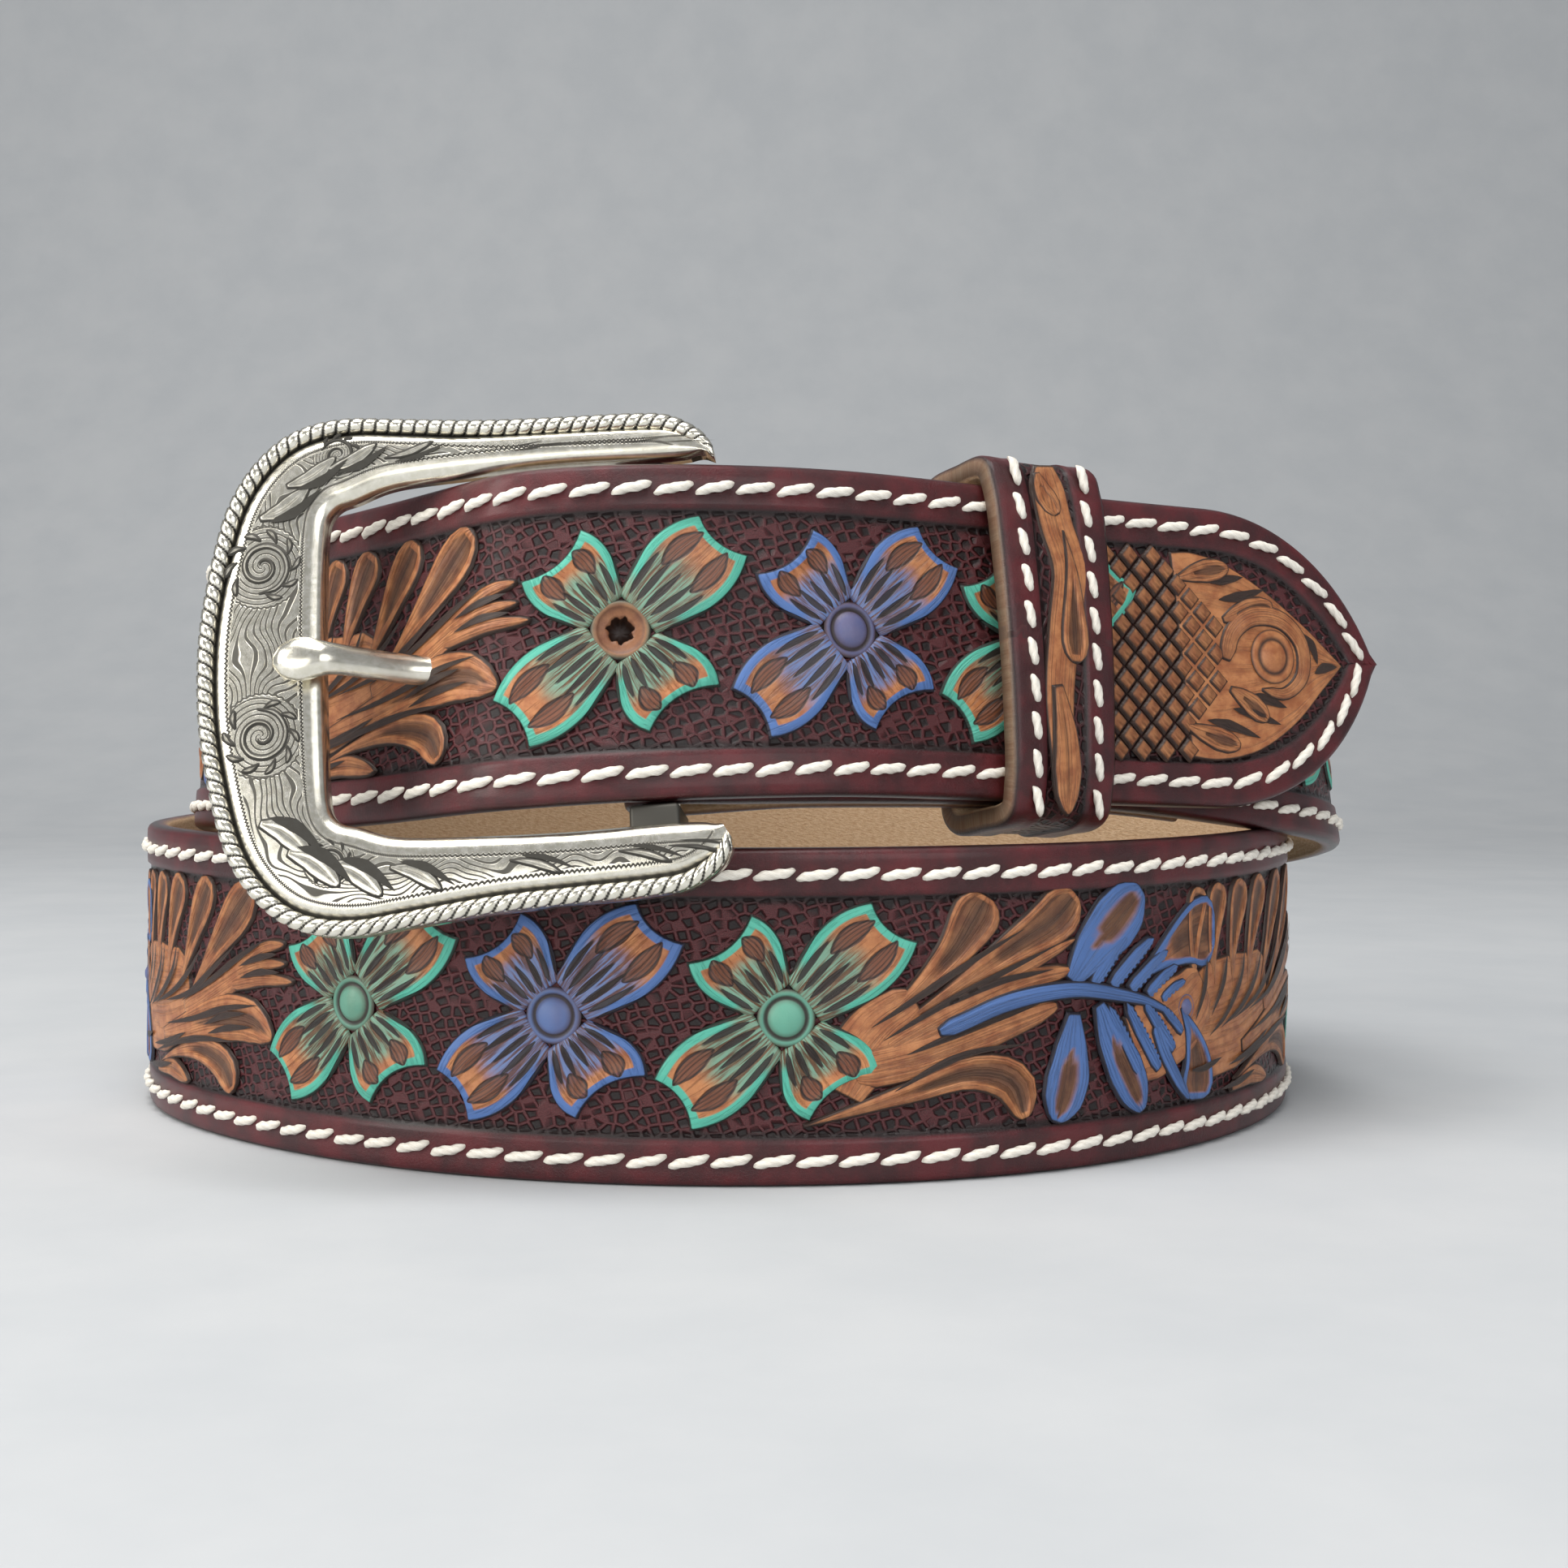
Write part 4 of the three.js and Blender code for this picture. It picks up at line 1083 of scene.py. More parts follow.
# outer and inner edge, along from the heel bar in lengths and up from the middle in heights
frame_rows = np.array([
    (-0.143, 0.368, -0.125, 0.357), (-0.140, 0.390, -0.110, 0.356), (-0.115, 0.423, -0.090, 0.352),
    (-0.060, 0.454, -0.050, 0.350), (0.010, 0.463, 0.010, 0.350), (0.150, 0.468, 0.140, 0.353),
    (0.301, 0.475, 0.280, 0.351), (0.473, 0.492, 0.420, 0.346), (0.560, 0.500, 0.490, 0.338),
    (0.635, 0.492, 0.548, 0.318), (0.700, 0.463, 0.582, 0.308), (0.759, 0.405, 0.602, 0.285),
    (0.802, 0.326, 0.609, 0.245), (0.833, 0.208, 0.612, 0.165), (0.853, 0.075, 0.614, 0.060),
])


def whole_edge(columns, drop):
    upper = frame_rows[:, columns] * (-buckle_length, buckle_height)
    lower = (upper * (1, -1))[::-1]
    return np.vstack([upper, lower]) - (0, drop)


outer_points = whole_edge([0, 1], frame_drop)
inner_points = whole_edge([2, 3], opening_drop)
bar_up = axes_at(0)[2]
bar_middle = Vector(wrap(0, 0, bar_depth)[0])
level_right = Vector((math.cos(buckle_yaw), -math.sin(buckle_yaw), 0))
buckle_right = (level_right - bar_up * level_right.dot(bar_up)).normalized()
buckle_out = buckle_right.cross(bar_up)
buckle_turn = np.array([buckle_right, bar_up, buckle_out])


def in_buckle(x, y, z):
    return (np.column_stack([x, y, z]) * mm) @ buckle_turn + np.array(bar_middle)


# %% [markdown]
# The section of the rim has the rope's groove, a face with soft relief, a polished inner bevel and a flat
# back. The face keeps its distance across in each point's `form`, and its place on the plate in `at`, so
# the engraving can follow both the edge and the plate.

# %% Buckle rim
high = buckle_depth / 2
face_high = high - rope_radius / 2
# where the face starts from the outer edge and ends before the inner one, and its crown
face_start, face_end, crown_width = 2.8, 1.9, 5
full_section = 7.0
rim_length = 165
# kind of distance, distance from that edge, height, region: 0 back and sides, 1 face, 2 polished bevel
rim_profile = (
    ("outer", 0.15, -high, 0), ("outer", 0.1, -0.6, 0), ("outer", 0.2, 0.2, 0), ("outer", 0.7, 0.5, 0),
    ("outer", 1.5, 0.45, 0), ("outer", 2.0, 0.55, 0), ("outer", 2.35, 1.0, 0.5),
    ("outer", face_start, face_high, 1), ("share", 0.12, 0.06, 1), ("share", 0.25, 0.14, 1),
    ("share", 0.4, 0.20, 1), ("share", 0.55, 0.22, 1), ("share", 0.7, 0.20, 1), ("share", 0.85, 0.13, 1),
    ("inner", face_end, face_high + 0.05, 1), ("inner", 1.65, face_high, 1.2),
    ("inner", 1.4, face_high - 0.02, 2), ("inner", 0.8, face_high - 0.22, 2),
    ("inner", 0.3, face_high - 0.6, 2), ("inner", 0.02, face_high - 1.1, 2), ("inner", 0, -0.6, 0),
    ("inner", 0.1, -high, 0),
)
rim_steps = 300


def rim_place(across, along):
    index = np.round(across * len(rim_profile)).astype(int) % len(rim_profile)
    a, b = catmull(outer_points, along), catmull(inner_points, along)
    wide = np.linalg.norm(b - a, axis=1)
    fit = np.minimum(1, wide / full_section)
    kinds = np.array([row[0] for row in rim_profile])[index]
    distance, height, region = (np.array([row[k] for row in rim_profile])[index] for k in (1, 2, 3))
    start, stop = face_start * fit, wide - face_end * fit
    crown = np.minimum(1, np.maximum(stop - start, 0) / crown_width)
    d = np.where(
        kinds == "outer", distance * fit,
        np.where(kinds == "inner", wide - distance * fit, start + (stop - start) * distance))
    z = np.where(kinds == "share", face_high + height * crown, height)
    flat = a + (b - a) * (d / wide)[:, None]
    x, y = flat.T
    layers = layers_of(len(d), at=(x, y, z), form=(along * rim_length, d, wide - d), tone=(0, region, 0))
    return in_buckle(x, y, bar_setback + z), layers


rim_piece = Piece("engraved_buckle")
rim_piece.sheet(len(rim_profile), rim_steps, rim_place)
rim_piece.close()

# %% [markdown]
# Behind the arms two lugs carry the heel bar. They are plain: a bevelled block each and a round bar. The
# lugs carry painted shade, since they sit behind the arms.

# %% Heel bar and lugs
lug_width, lug_thickness, lug_clearance = 5.6, 3.1, 0.8
# how dark the lugs are painted, as painted shade behind the buckle's arms
lug_painted_shade = 0.7
lug_inside = strap_width / 2 + lug_clearance
lug_depth = bar_setback + bar_radius / 2
buckle_matrix = Matrix((buckle_right, bar_up, buckle_out)).transposed().to_4x4()
buckle_matrix.translation = bar_middle


def add_block(piece, centre, size, bevel):
    made = bmesh.ops.create_cube(piece.mesh, size=1)["verts"]
    bmesh.ops.transform(piece.mesh, matrix=Matrix.Diagonal((*size, 1)), verts=made)
    bmesh.ops.translate(piece.mesh, vec=Vector(centre), verts=made)
    edges = list(dict.fromkeys(edge for vert in made for edge in vert.link_edges))
    cut = bmesh.ops.bevel(
        piece.mesh, geom=edges, offset=bevel, affect="EDGES", segments=3, profile=0.5, material=-1)
    verts = [vert for face in cut["faces"] for vert in face.verts] + [v for v in made if v.is_valid]
    verts = list(dict.fromkeys(verts))
    for vert in verts:
        vert[piece.layers["tone"]] = (lug_painted_shade, 0, 0)
    bmesh.ops.transform(piece.mesh, matrix=Matrix.Scale(mm, 4), verts=verts)
    bmesh.ops.transform(piece.mesh, matrix=buckle_matrix, verts=verts)


for side in (1, -1):
    add_block(rim_piece, (0, side * (lug_inside + lug_thickness / 2), (bar_setback - bar_radius / 2) / 2),
              (lug_width, lug_thickness, lug_depth), 0.5)
bar_made = bmesh.ops.create_cone(
    rim_piece.mesh, cap_ends=True, segments=28, radius1=bar_radius, radius2=bar_radius,
    depth=2 * lug_inside + lug_thickness, matrix=Matrix.Rotation(math.radians(90), 4, "X"))["verts"]
bmesh.ops.transform(rim_piece.mesh, matrix=buckle_matrix @ Matrix.Scale(mm, 4), verts=bar_made)
buckle = rim_piece.finish(merge=0)
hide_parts("buckle_frame")

# %% [markdown]
# The rope edge is a bead whose surface has two strands wound round it. The strands are a ripple that
# turns as it goes along, so one long tube makes the whole rope.

# %% Rope edge
rope_strand_pitch = 1.55
rope_steps = 1100
rope_sides = 16
edge_fine = np.linspace(0, 1, 4000)
edge_run = running_length(catmull(outer_points, edge_fine))
print(f"rope edge {edge_run[-1]:.1f} mm, {edge_run[-1] / rope_strand_pitch:.0f} strands")


def rope_place(across, along):
    run = along * edge_run[-1]
    share = np.interp(run, edge_run, edge_fine)
    a, b = catmull(outer_points, share), catmull(inner_points, share)
    inward = unit(b - a)
    wide = np.linalg.norm(b - a, axis=1)
    fit = np.minimum(1, wide / (4 * rope_radius))
    angle = 2 * np.pi * across
    phase = angle + 2 * np.pi * run / (2 * rope_strand_pitch)
    crest = smooth_range(np.abs(np.cos(phase)), 0.05, 0.62)
    thick = rope_radius * fit * (0.78 + 0.27 * crest)
    d = rope_radius * fit + thick * np.cos(angle)
    z = high - rope_radius + thick * np.sin(angle)
    flat = a + inward * d[:, None]
    x, y = flat.T
    layers = layers_of(len(d), at=(x, y, z), form=(run, crest, 0), tone=(1 - crest, 3, 0))
    return in_buckle(x, y, bar_setback + z), layers


rope_piece = Piece("rope_edge")
rope_piece.sheet(rope_sides, rope_steps, rope_place)
rope_piece.close()
rope = rope_piece.finish(merge=0)

# %% [markdown]
# The plate is engraved with scrolls and leaves. The main strokes are raised blades laid on the plate, with
# blackened channels round them; the fine hatching between them is left to the finish.

# %% Scrolls and leaves on the plate
def plate_height(x, y):
    """Height of the face above its middle plane at a point of the plate."""
    points = np.column_stack([x, y])
    far_enough = np.linspace(0, 1, 240)
    a, b = catmull(outer_points, far_enough), catmull(inner_points, far_enough)
    best = np.full(len(points), 1e9)
    height = np.full(len(points), face_high)
    for start, stop in zip(a, b):
        wide = np.linalg.norm(stop - start)
        face = wide - face_start - face_end
        heading = (stop - start) / wide
        rel = points - start
        d = rel @ heading
        off = np.abs(rel @ np.array([-heading[1], heading[0]]))
        closer = off + np.maximum(-d, 0) + np.maximum(d - wide, 0)
        share = np.clip((d - face_start) / max(face, 0.1), 0, 1)
        bump = 0.22 * np.sin(np.pi * share) ** 0.8 * min(1, face / crown_width)
        height = np.where(closer < best, face_high + bump, height)
        best = np.minimum(best, closer)
    return height


def on_plate(x, y, rise):
    return in_buckle(x, y, bar_setback + plate_height(x, y) + rise * 0.42 - 0.02)


def spiral(centre, radius, turns, start, wound):
    """Points of a scroll that winds in to its centre. start is the angle of its open end."""
    share = np.linspace(0, 1, 15)
    angle = math.radians(start) + wound * 2 * np.pi * turns * share
    reach_out = radius * (1 - share) ** 0.85 + 0.35
    return np.column_stack([centre[0] + reach_out * np.cos(angle), centre[1] + reach_out * np.sin(angle)])


scroll_rows = (
    {"centre": (-43.4, 10.4), "radius": 2.9, "turns": 1.7, "start": -100, "wound": 1},
    {"centre": (-43.6, -9.4), "radius": 2.9, "turns": 1.7, "start": 100, "wound": -1},
    {"centre": (-34.6, 23.2), "radius": 1.7, "turns": 1.5, "start": 160, "wound": -1},
    {"centre": (-36.0, -24.2), "radius": 1.7, "turns": 1.5, "start": 200, "wound": 1},
)
plate_leaves = Piece("buckle_scrolls")


def beside(row, reach_out, angle):
    """A point beside a scroll, at so many radii from its centre."""
    way = np.array([math.cos(angle), math.sin(angle)])
    return np.array(row["centre"]) + row["radius"] * reach_out * way


for row in scroll_rows:
    blade(plate_leaves, spiral(**row), 0.28 * row["radius"] + 0.1, "stem", lay=on_plate, fine=1.3)
    for k in range(9):
        angle = math.radians(row["start"]) + row["wound"] * (0.25 + 0.62 * k)
        near_end = beside(row, 1.06, angle)
        far_end = beside(row, 1.55, angle + row["wound"] * 0.5)
        mid = (near_end + far_end) / 2 + 0.12 * (far_end - near_end)[::-1] * (1, -1) * row["wound"]
        blade(plate_leaves, (near_end, mid, far_end), 0.34 * row["radius"], "leaf", lay=on_plate, fine=0.5)
arm_leaf_count = 7
arm_leaf_length = 6.0
for side in (1, -1):
    for number in range(arm_leaf_count):
        share = 0.09 + 0.30 * number / (arm_leaf_count - 1)
        a, b = catmull(outer_points, np.array([share])), catmull(inner_points, np.array([share]))
        if side < 0:
            a, b = (catmull(points, np.array([1 - share])) for points in (outer_points, inner_points))
        middle = (a * 0.46 + b * 0.54)[0]
        wide = np.linalg.norm(a - b) - 5
        tip = middle + (arm_leaf_length * 0.5, side * wide * 0.30)
        root = middle - (arm_leaf_length * 0.5, side * wide * 0.26)
        bow = middle + (0, -side * wide * 0.10)
        blade(plate_leaves, (root, bow, tip), 0.40 * wide, "leaf", lay=on_plate, fine=0.6)
        shadow = np.array([root, bow, tip]) + (1.3, -side * 0.5)
        blade(plate_leaves, shadow, 0.20 * wide, "slit", lay=on_plate, fine=0.6)
plate_leaves = plate_leaves.finish(merge=0, outward=False)

# %% [markdown]
# The prong is turned from silver rod: an eye round the heel bar, a shank, and a flattened spade tip that
# rests over the closed end. Rings along a table of sections make the shank.

# %% Prong
prong_radius, prong_length, prong_drop = 1.75, 41.4, 1.5
# along, out in setbacks, drop, wide, high
prong_rows = np.array([
    (0.070, 0.00, 0.00, 0.80, 0.80), (0.300, 0.05, 0.45, 0.95, 0.95), (0.500, 0.15, 0.80, 1.00, 0.95),
    (0.640, 0.42, 1.00, 1.00, 0.92), (0.760, 0.98, 1.00, 1.00, 0.92), (0.840, 1.40, 1.00, 1.05, 0.85),
    (0.880, 1.50, 1.00, 1.25, 0.80), (0.930, 1.52, 1.00, 1.45, 0.75), (0.975, 1.50, 1.00, 1.10, 0.65),
    (1.000, 1.48, 1.00, 0.45, 0.35),
])


def prong_place(across, along):
    row = catmull(prong_rows, along)
    angle = 2 * np.pi * across
    x = -row[:, 0] * prong_length
    y = row[:, 3] * prong_radius * np.cos(angle) - row[:, 2] * prong_drop
    z = row[:, 1] * bar_setback + row[:, 4] * prong_radius * np.sin(angle)
    return in_buckle(x, y, z), layers_of(len(x), at=(x, y, z), tone=(0, 2, 0))


prong_piece = Piece("silver_prong")
prong_piece.sheet(columns=24, row_count=90, place=prong_place)
prong_piece.close()
eye_profile = ((2.35, -2.6), (2.35, 2.6), (3.0, 2.6), (3.85, 2.0), (3.85, -2.0), (3.0, -2.6))


def eye_place(across, along):
    index = np.round(across * len(eye_profile)).astype(int) % len(eye_profile)
    reach_out, y = np.array(eye_profile)[index].T
    angle = 2 * np.pi * along
    x, z = reach_out * np.cos(angle), reach_out * np.sin(angle)
    return in_buckle(x, y, z), layers_of(len(x), at=(x, y, z), tone=(0, 2, 0))


eye_verts = prong_piece.sheet(len(eye_profile), row_count=36, place=eye_place)
bmesh.ops.remove_doubles(prong_piece.mesh, verts=[v for v in eye_verts if v.is_valid], dist=seam_gap)
prong = prong_piece.finish(merge=0)
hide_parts("prong")

# %% [markdown]
# The finishes are node materials, written as Python expressions. `Value` wraps a socket, so that
# `dark * 0.5 + 0.2` adds the Math nodes. `Finish` holds one material and makes any other node.

# %% Shader maths
class Value:
    """A number, colour or vector on its way through a material."""

    def __init__(self, finish, socket):
        self.finish = finish
        self.socket = socket

    def math(self, operation, *others):
        return self.finish.node("ShaderNodeMath", {"operation": operation}, self, *others)

    def __add__(self, other):
        return self.math("ADD", other)

    def __radd__(self, other):
        return self.math("ADD", other)

    def __sub__(self, other):
        return self.math("SUBTRACT", other)

    def __rsub__(self, other):
        return self.finish.node("ShaderNodeMath", {"operation": "SUBTRACT"}, other, self)

    def __mul__(self, other):
        return self.math("MULTIPLY", other)

    def __rmul__(self, other):
        return self.math("MULTIPLY", other)

    def __truediv__(self, other):
        return self.math("DIVIDE", other)

    def __pow__(self, other):
        return self.math("POWER", other)

    def __abs__(self):
        return self.math("ABSOLUTE")

    def between(self, low, high):
        """0 below low, 1 above high, smooth between them."""
        smooth = {"interpolation_type": "SMOOTHSTEP"}
        return self.finish.node("ShaderNodeMapRange", smooth, self, low, high, 0.0, 1.0)


class Finish:
    """One material and the nodes that its finish needs."""

    def __init__(self, name):
        self.material = bpy.data.materials.new(name)
        self.material.use_nodes = True
        self.tree = self.material.node_tree
        self.shader = next(node for node in self.tree.nodes if node.type == "BSDF_PRINCIPLED")

    def node(self, kind, settings, *inputs, output=0, **named):
        made = self.tree.nodes.new(kind)
        for key, setting in settings.items():
            setattr(made, key, setting)
        for number, given in enumerate(inputs):
            self.join(made.inputs[number], given)
        for name, given in named.items():
            self.join(made.inputs[name], given)
        return Value(self, made.outputs[output])

    def join(self, socket, given):
        if isinstance(given, Value):
            self.tree.links.new(given.socket, socket)
        else:
            socket.default_value = given

    def attribute(self, name, part):
        made = self.node("ShaderNodeAttribute", {"attribute_name": name}, output="Vector")
        return self.node("ShaderNodeSeparateXYZ", {}, made, output=part)

    def vector(self, x, y, z=0.0):
        return self.node("ShaderNodeCombineXYZ", {}, x, y, z)

    def noise(self, where, scale, detail=4.0, rough=0.6):
        return self.node(
            "ShaderNodeTexNoise", {}, Vector=where, Scale=scale, Detail=detail, Roughness=rough)

    def mix(self, share, first, second):
        made = self.tree.nodes.new("ShaderNodeMix")
        made.data_type = "RGBA"
        for name, wanted, given in (
                ("Factor", "VALUE", share), ("A", "RGBA", first), ("B", "RGBA", second)):
            socket = next(s for s in made.inputs if s.name == name and s.type == wanted and s.enabled)
            self.join(socket, given)
        return Value(self, next(s for s in made.outputs if s.type == "RGBA"))

    def bump(self, height, strength, distance):
        return self.node("ShaderNodeBump", {}, Strength=strength, Distance=distance, Height=height)

    def set(self, **named):
        """Joins values to the shader's inputs, named with _ for each space."""
        for name, given in named.items():
            self.join(self.shader.inputs[name.replace("_", " ")], given)


def colour(code):
    """A material colour from its usual six-figure code, as linear red, green, blue and one."""
    parts = [int(code[k:k + 2], 16) / 255 for k in (0, 2, 4)]
    linear = [part / 12.92 if part < 0.04045 else ((part + 0.055) / 1.055) ** 2.4 for part in parts]
    return (*linear, 1.0)


# %% [markdown]
# Burgundy strap leather: dyed dark and waxed to a soft gloss. The border is smooth with fine pores and a
# crease, the panel is stamped with a net of small pits, the edges are burnished nearly black, and the
# flesh side is natural beige. The numbers that each point carries say which of these it is.

# %% Strap leather
def strap_finish():
    leather = Finish("burgundy_leather")
    length, height = leather.attribute("at", 0), leather.attribute("at", 1)
    dark, flesh, panel = (leather.attribute("tone", part) for part in range(3))
    flat = leather.vector(length, height)
    patches = leather.noise(flat, 0.16, 4)
    pores = leather.noise(flat, 3.2, 6, 0.7)
    fine = leather.noise(flat, 9.0, 3)
    stamped = leather.vector(length * 0.8 + height * 0.35, height - length * 0.25)
    stamp = leather.node("ShaderNodeTexVoronoi", {"feature": "DISTANCE_TO_EDGE"}, output="Distance",
                         Vector=stamped, Scale=0.80, Randomness=0.5)
    net = 1 - stamp.between(0.07, 0.26)
    pits = (1 - net) * panel
    burgundy = leather.mix(patches.between(0.35, 0.68), colour("350b10"), colour("58131a"))
    burgundy = leather.mix(pores.between(0.52, 0.75) * 0.3, burgundy, colour("70262b"))
    ridge = leather.mix(fine.between(0.4, 0.62), colour("3a1215"), colour("5f282c"))
    ground = leather.mix(net, colour("140607"), ridge)
    tint = leather.mix(panel, burgundy, ground)
    tint = leather.mix(dark.between(0.05, 1.0) * 0.92, tint, colour("120808"))
    fibres = leather.noise(leather.vector(length * 0.5, height * 1.6), 2.0, 6, 0.75)
    suede = leather.mix(fibres.between(0.3, 0.7), colour("b8926e"), colour("d9bd9a"))
    tint = leather.mix(flesh, tint, suede)
    rough = (pores * 0.18 + 0.24) * (1 - panel) + panel * 0.38
    rough = rough * (1 - flesh) + flesh * 0.85
    height_map = pores * 0.25 + fine * 0.12 - pits * 1.0 + fibres * flesh * 0.6
    leather.set(Base_Color=tint, Roughness=rough, Coat_Weight=(1 - flesh) * (1 - panel * 0.7) * 0.2,
                Coat_Roughness=0.22, Specular_IOR_Level=0.38, Normal=leather.bump(height_map, 0.9, 0.0005))
    return leather.material


strap_leather = strap_finish()
for piece in (strap, keeper):
    piece.data.materials.clear()
    piece.data.materials.append(strap_leather)

# %% [markdown]
# Carved leather: tan with antique stain left in every cut. The stain follows `dark`, fine veins run along
# each form, and thin acrylic paint lies on the lines and fades over the flowers. A petal's slits and its
# two hatched lens cuts are finer than its grid, so they are drawn here from its share across and along.

# %% Carved leather
def carved_finish():
    leather = Finish("carved_leather")
    length, height = leather.attribute("at", 0), leather.attribute("at", 1)
    across, along, pick = (leather.attribute("form", part) for part in range(3))
    dark, line, fade = (leather.attribute("tone", part) for part in range(3))
    flat = leather.vector(length, height)
    cloud = leather.noise(flat, 0.45, 4)
    pores = leather.noise(flat, 5.0, 5, 0.7)
    veins = leather.noise(leather.vector(across * 7.5, along * 1.0, length * 0.02), 1.6, 5, 0.65)
    is_blue = pick.between(1.4, 1.6)
    tan = leather.mix(cloud.between(0.32, 0.68), colour("96562f"), colour("bb7c4c"))
    tan = leather.mix(pores.between(0.5, 0.8) * 0.3, tan, colour("7a4428"))
    painted_form = pick.between(0.4, 0.6)
    vein_dark = (1 - veins.between(0.38, 0.50)) * 0.16
    tan = leather.mix(vein_dark, tan, colour("3a1c12"))
    light = leather.mix(is_blue, colour("4fae98"), colour("4a6ca6"))
    deep = leather.mix(is_blue, colour("22352d"), colour("232c4a"))
    worn = leather.mix(is_blue, colour("6c9a85"), colour("5a76a8"))
    wash = leather.mix(veins.between(0.40, 0.58), deep, worn)
    tint = leather.mix(fade * (0.6 + veins.between(0.35, 0.6) * 0.35), tan, wash)
    tint = leather.mix(line * (pores.between(0.2, 0.42) * 0.25 + 0.75), tint, light)
    stain = dark.between(0.10, 0.95)
    petal_form = painted_form * (1 - pick.between(2.4, 2.6))
    ray = abs((across * 3.0 + 0.5).math("FRACT") - 0.5) * 2
    ray_width = along.between(0.03, 0.16) * (1 - along.between(0.24, 0.56)) * 0.46
    slit = (1 - (ray - ray_width).between(0.0, 0.14)) * ray_width.between(0.03, 0.1) * petal_form
    reach = (along - 0.42) / 0.54
    inside = (reach * (1 - reach) * 4).math("MAXIMUM", 0.0)
    from_lens = abs(abs(across) - 0.44) - (inside ** 0.8) * 0.23
    lens = (1 - from_lens.between(-0.03, 0.02)) * inside.between(0.02, 0.12) * petal_form
    lens_line = lens * from_lens.between(-0.09, -0.04)
    lens_hatch = lens * (across * 70 + veins * 6).math("SINE").between(0.0, 0.7)
    tint = leather.mix(lens * 0.9, tint, colour("6b3b26"))
    stain = (stain + slit + lens_line * 0.8 + lens_hatch * 0.6).math("MINIMUM", 1.0)
    tint = leather.mix(stain * 0.95, tint, colour("190a07"))
    rough = pores * 0.2 + 0.33 + stain * 0.1
    relief = pores * 0.2 + veins.between(0.30, 0.52) * 0.7 - slit * 1.6 - lens * 1.0
    leather.set(Base_Color=tint, Roughness=rough, Coat_Weight=(1 - line) * 0.15, Coat_Roughness=0.3,
                Normal=leather.bump(relief, 0.8, 0.00026))
    return leather.material


carved_leather = carved_finish()
for piece in carvings:
    piece.data.materials.append(carved_leather)

# %% [markdown]
# Thread: waxed white polyester with fine filaments along the twist; its furrows and its low ends by the
# leather are turned brown as painted shade.

# %% Thread
def thread_finish():
    cord = Finish("white_thread")
    around, run = cord.attribute("form", 0), cord.attribute("form", 1)
    dark = cord.attribute("tone", 0)
    filament = cord.noise(cord.vector(around * 30 - run * 5, run * 1.5), 1.0, 3)
    tint = cord.mix(filament.between(0.3, 0.7), colour("dcd5c7"), colour("f7f3ea"))
    # painted shade: brown in the furrows of the twist and where the thread sinks to the leather
    tint = cord.mix(dark, tint, colour("6e5a48"))
    cord.set(Base_Color=tint, Roughness=0.62, Normal=cord.bump(filament, 0.5, 0.0001))
    return cord.material


stitches.data.materials.append(thread_finish())

# %% [markdown]
# Antique silver: bright on its high places and blackened in its cuts, and darkened on the lugs behind the
# arms as painted shade. The engraved hatching follows the edge of the plate and curls round the scrolls; a
# toothed line runs along both edges of the face.

# %% Silver
# the toothed lines' distances from the edges
outer_line_at, inner_line_at = 3.35, 2.2


def silver_finish(name, engraved):
    silver = Finish(name)
    x, y = silver.attribute("at", 0), silver.attribute("at", 1)
    dark, region = silver.attribute("tone", 0), silver.attribute("tone", 1)
    flat = silver.vector(x, y)
    scuffs = silver.noise(flat, 1.1, 6, 0.7)
    fine = silver.noise(silver.vector(x * 0.6, y * 6), 4.0, 4)
    tint = silver.mix(scuffs.between(0.35, 0.7), colour("e4dfcf"), colour("f8f4e8"))
    black = dark.between(0.15, 0.75) * 0.96
    relief = fine * 0.03 + scuffs * 0.04
    if engraved:
        run, from_outer, from_inner = (silver.attribute("form", part) for part in range(3))
        face = region.between(0.8, 1.0) * (1 - region.between(1.0, 1.2))
        hatch = ((from_outer * 8.0) + silver.noise(flat, 0.20, 0) * 50.0).math("SINE").between(0.32, 0.72)
        for row in scroll_rows:
            cx, cy = row["centre"]
            away = ((x - cx) ** 2 + (y - cy) ** 2) ** 0.5
            angle = (y - cy).math("ARCTAN2", x - cx)
            rings = away * (29.0 / row["radius"]) + angle * (3 * row["wound"])
            rings = rings.math("SINE").between(0.3, 0.7)
            apart = away / row["radius"]
            near = 1 - apart.between(1.64, 1.66)
            rope_ring = 1 - abs(apart - 1.68 + (angle * 40).math("SINE") * 0.025).between(0.03, 0.06)
            hatch = (hatch * (1 - near) + rings * near + rope_ring).math("MINIMUM", 1.0)
        zig = abs((run * 8.4).math("SINE"))
        past_outer, past_inner = from_outer - outer_line_at, from_inner - inner_line_at
        outer_line = 1 - abs(past_outer - zig * 0.24).between(0.10, 0.20)
        inner_line = 1 - abs(past_inner - zig * 0.22).between(0.09, 0.18)
        plain = abs(past_outer).between(0.45, 0.55) * abs(past_inner).between(0.45, 0.55)
        plain = plain * past_outer.between(-0.1, 0.1) * past_inner.between(-0.1, 0.1)
        cut = (hatch * plain * 0.95 + outer_line + inner_line).math("MINIMUM", 1.0) * face
        groove = (1 - region.between(0.3, 0.9)) * from_outer.between(1.3, 1.7)
        groove = groove * (1 - from_outer.between(2.8, 3.0))
        black = (black + cut * 0.95 + groove * 0.95).math("MINIMUM", 1.0)
        relief = relief - cut
    tint = silver.mix(black, tint, colour("23211e"))
    silver.set(Base_Color=tint, Metallic=1.0 - black * 0.35, Roughness=scuffs * 0.14 + 0.17 + black * 0.3)
    silver.set(Normal=silver.bump(relief, 0.6, 0.00012))
    return silver.material


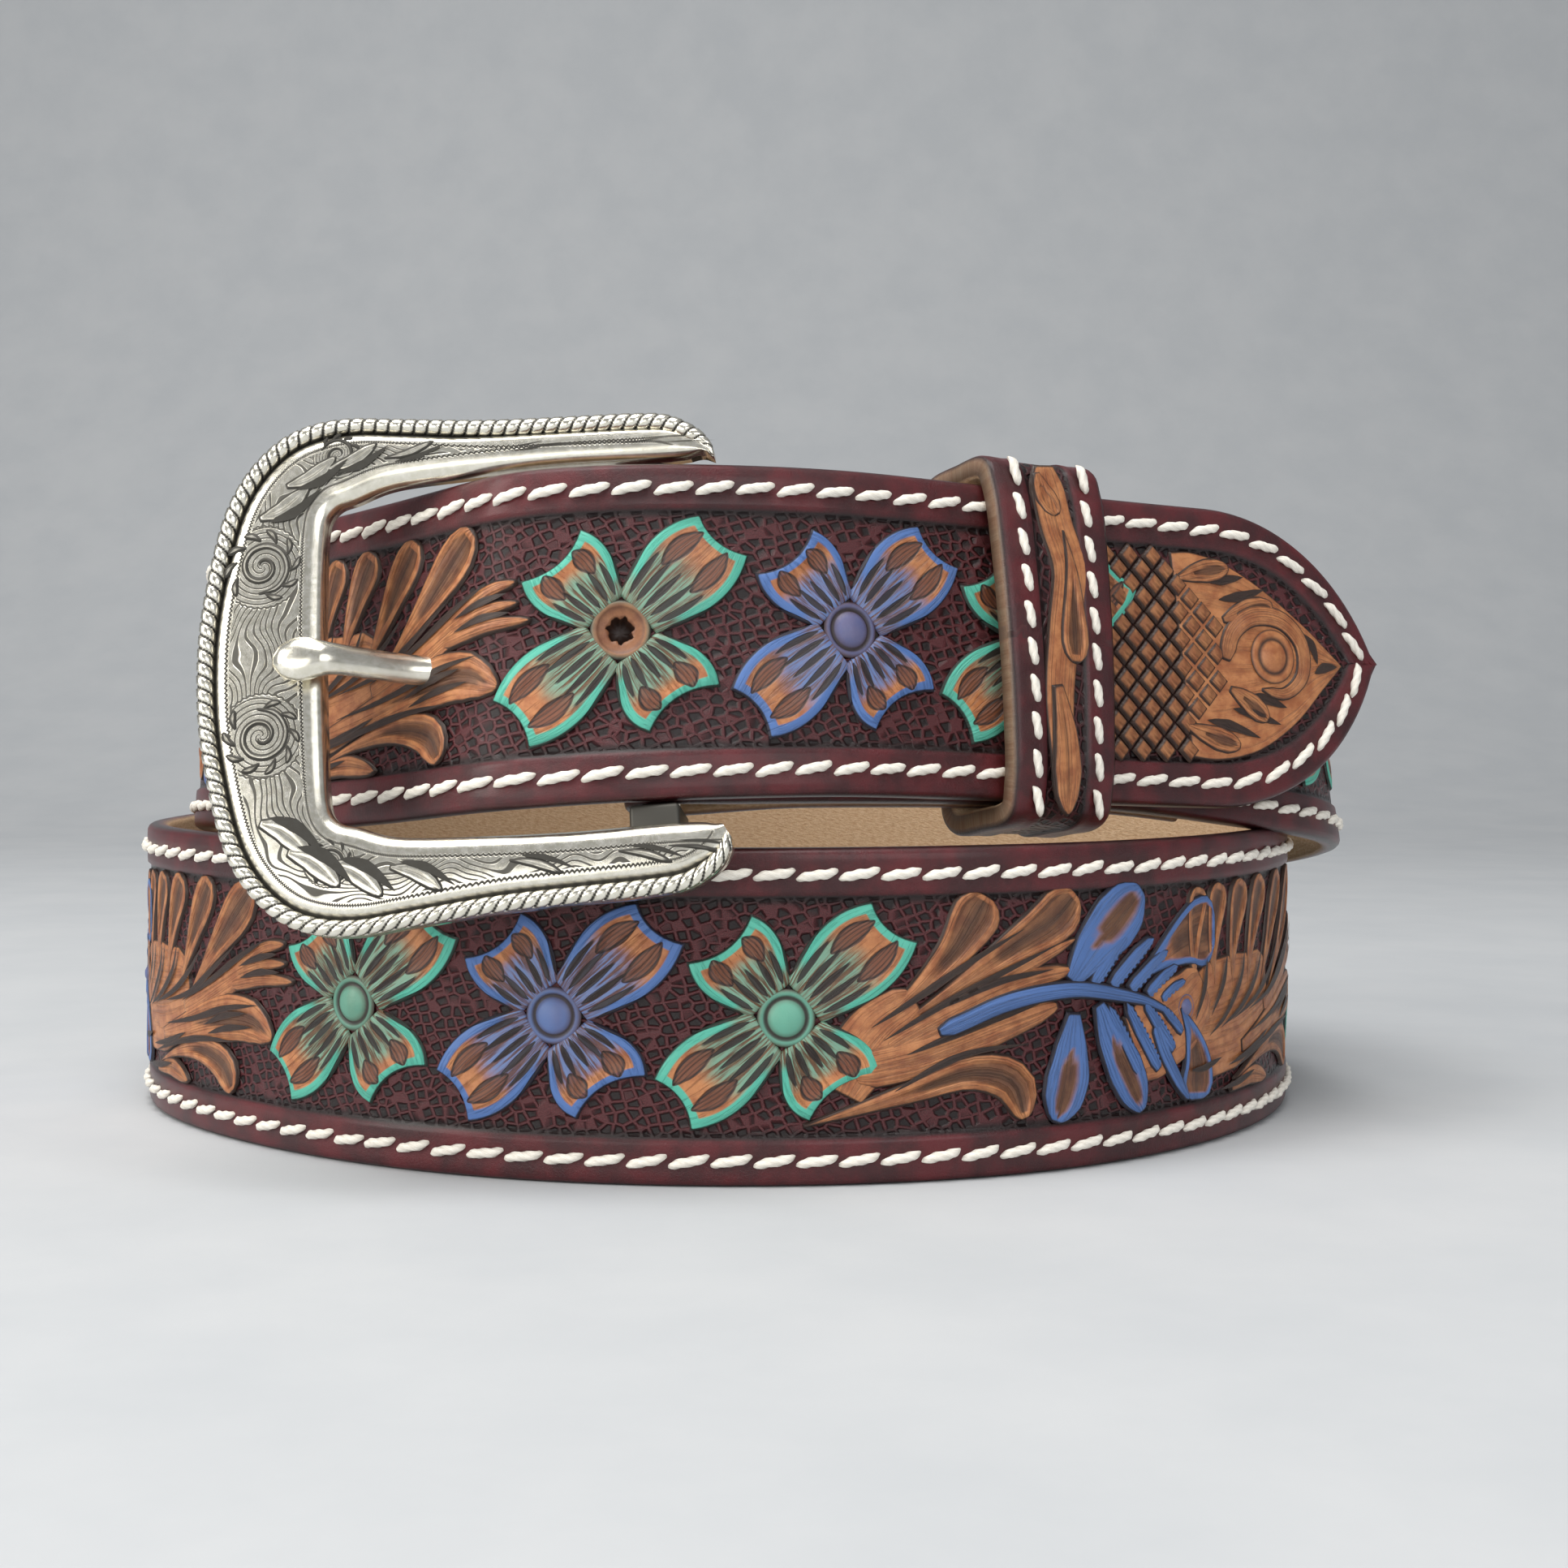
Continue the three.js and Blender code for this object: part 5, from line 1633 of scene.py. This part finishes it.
buckle.data.materials.append(silver_finish("engraved_silver", True))
worn_silver = silver_finish("worn_silver", False)
for piece in (rope, plate_leaves, prong):
    piece.data.materials.append(worn_silver)

# %% [markdown]
# The hidden screw posts stay as the frame has them. Their finish reads Object coordinates, since a piece
# from the frame carries no numbers of its own.

# %% Screw metal
def screw_finish():
    metal = Finish("screw_metal")
    where = metal.node("ShaderNodeTexCoord", {}, output="Object")
    scuffs = metal.noise(where, 900, 5)
    turned = metal.node(
        "ShaderNodeTexWave", {"wave_type": "RINGS"}, Vector=where, Scale=600.0, Distortion=1.5)
    tint = metal.mix(scuffs.between(0.4, 0.7), colour("8d8a83"), colour("c4c1b8"))
    metal.set(Base_Color=tint, Metallic=1.0, Roughness=scuffs * 0.2 + 0.22)
    metal.set(Normal=metal.bump(turned * 0.3 + scuffs * 0.4, 0.3, 0.0001))
    return metal.material


screw_metal = screw_finish()
for node in ("fold_screw_upper", "fold_screw_lower"):
    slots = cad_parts[node].data.materials
    slots.clear()
    slots.append(screw_metal)

# %% [markdown]
# The belt stands on a plain pale floor that curves up behind it. Soft light comes from above and from the
# left, and two wide dim panels in front give the silver something to reflect.

# %% Floor and light
floor_mesh = bmesh.new()
bmesh.ops.create_grid(floor_mesh, x_segments=60, y_segments=60, size=2.5)
rise_start, rise_radius = 0.6, 0.6
for vert in floor_mesh.verts:
    past = max(0.0, vert.co.y - rise_start)
    angle = min(past / rise_radius, math.pi / 2)
    rest = max(0.0, past - rise_radius * math.pi / 2)
    if past > 0:
        vert.co.y = rise_start + rise_radius * math.sin(angle)
        vert.co.z = rise_radius * (1 - math.cos(angle)) + rest
for face in floor_mesh.faces:
    face.smooth = True
floor = linked_mesh("floor", floor_mesh)
stone = Finish("pale_floor")
where = stone.node("ShaderNodeTexCoord", {}, output="Object")
mottle = stone.noise(where, 30.0, 6)
stone.set(
    Base_Color=stone.mix(mottle.between(0.2, 0.8), colour("b7babd"), colour("bfc1c3")), Roughness=0.75)
floor.data.materials.append(stone.material)


light_aim = Vector((0, 0, 0.04))


def soft_light(name, place, size, power, tint=(1, 1, 1)):
    data = bpy.data.lights.new(name, "AREA")
    data.shape = "RECTANGLE"
    data.size, data.size_y = size
    data.energy = power
    data.color = tint
    light = linked(name, data)
    light.location = place
    light.rotation_euler = (light_aim - Vector(place)).to_track_quat("-Z", "Y").to_euler()


soft_light("top_light", (-0.15, -0.25, 1.0), (0.8, 0.6), 10.5, (1.0, 0.99, 0.97))
soft_light("left_light", (-0.9, -0.45, 0.45), (0.4, 0.6), 6, (1.0, 0.97, 0.92))
soft_light("front_light", (0.45, -0.9, 0.35), (0.7, 0.4), 3)
soft_light("silver_card", (-0.62, -1.0, 0.12), (0.8, 0.55), 3.6, (1.0, 0.98, 0.93))
world = bpy.data.worlds.new("room")
world.use_nodes = True
backdrop = world.node_tree.nodes["Background"]
backdrop.inputs["Color"].default_value = (0.86, 0.89, 0.93, 1)
backdrop.inputs["Strength"].default_value = 0.34
bpy.context.scene.world = world
bpy.context.scene.view_settings.view_transform = "Standard"
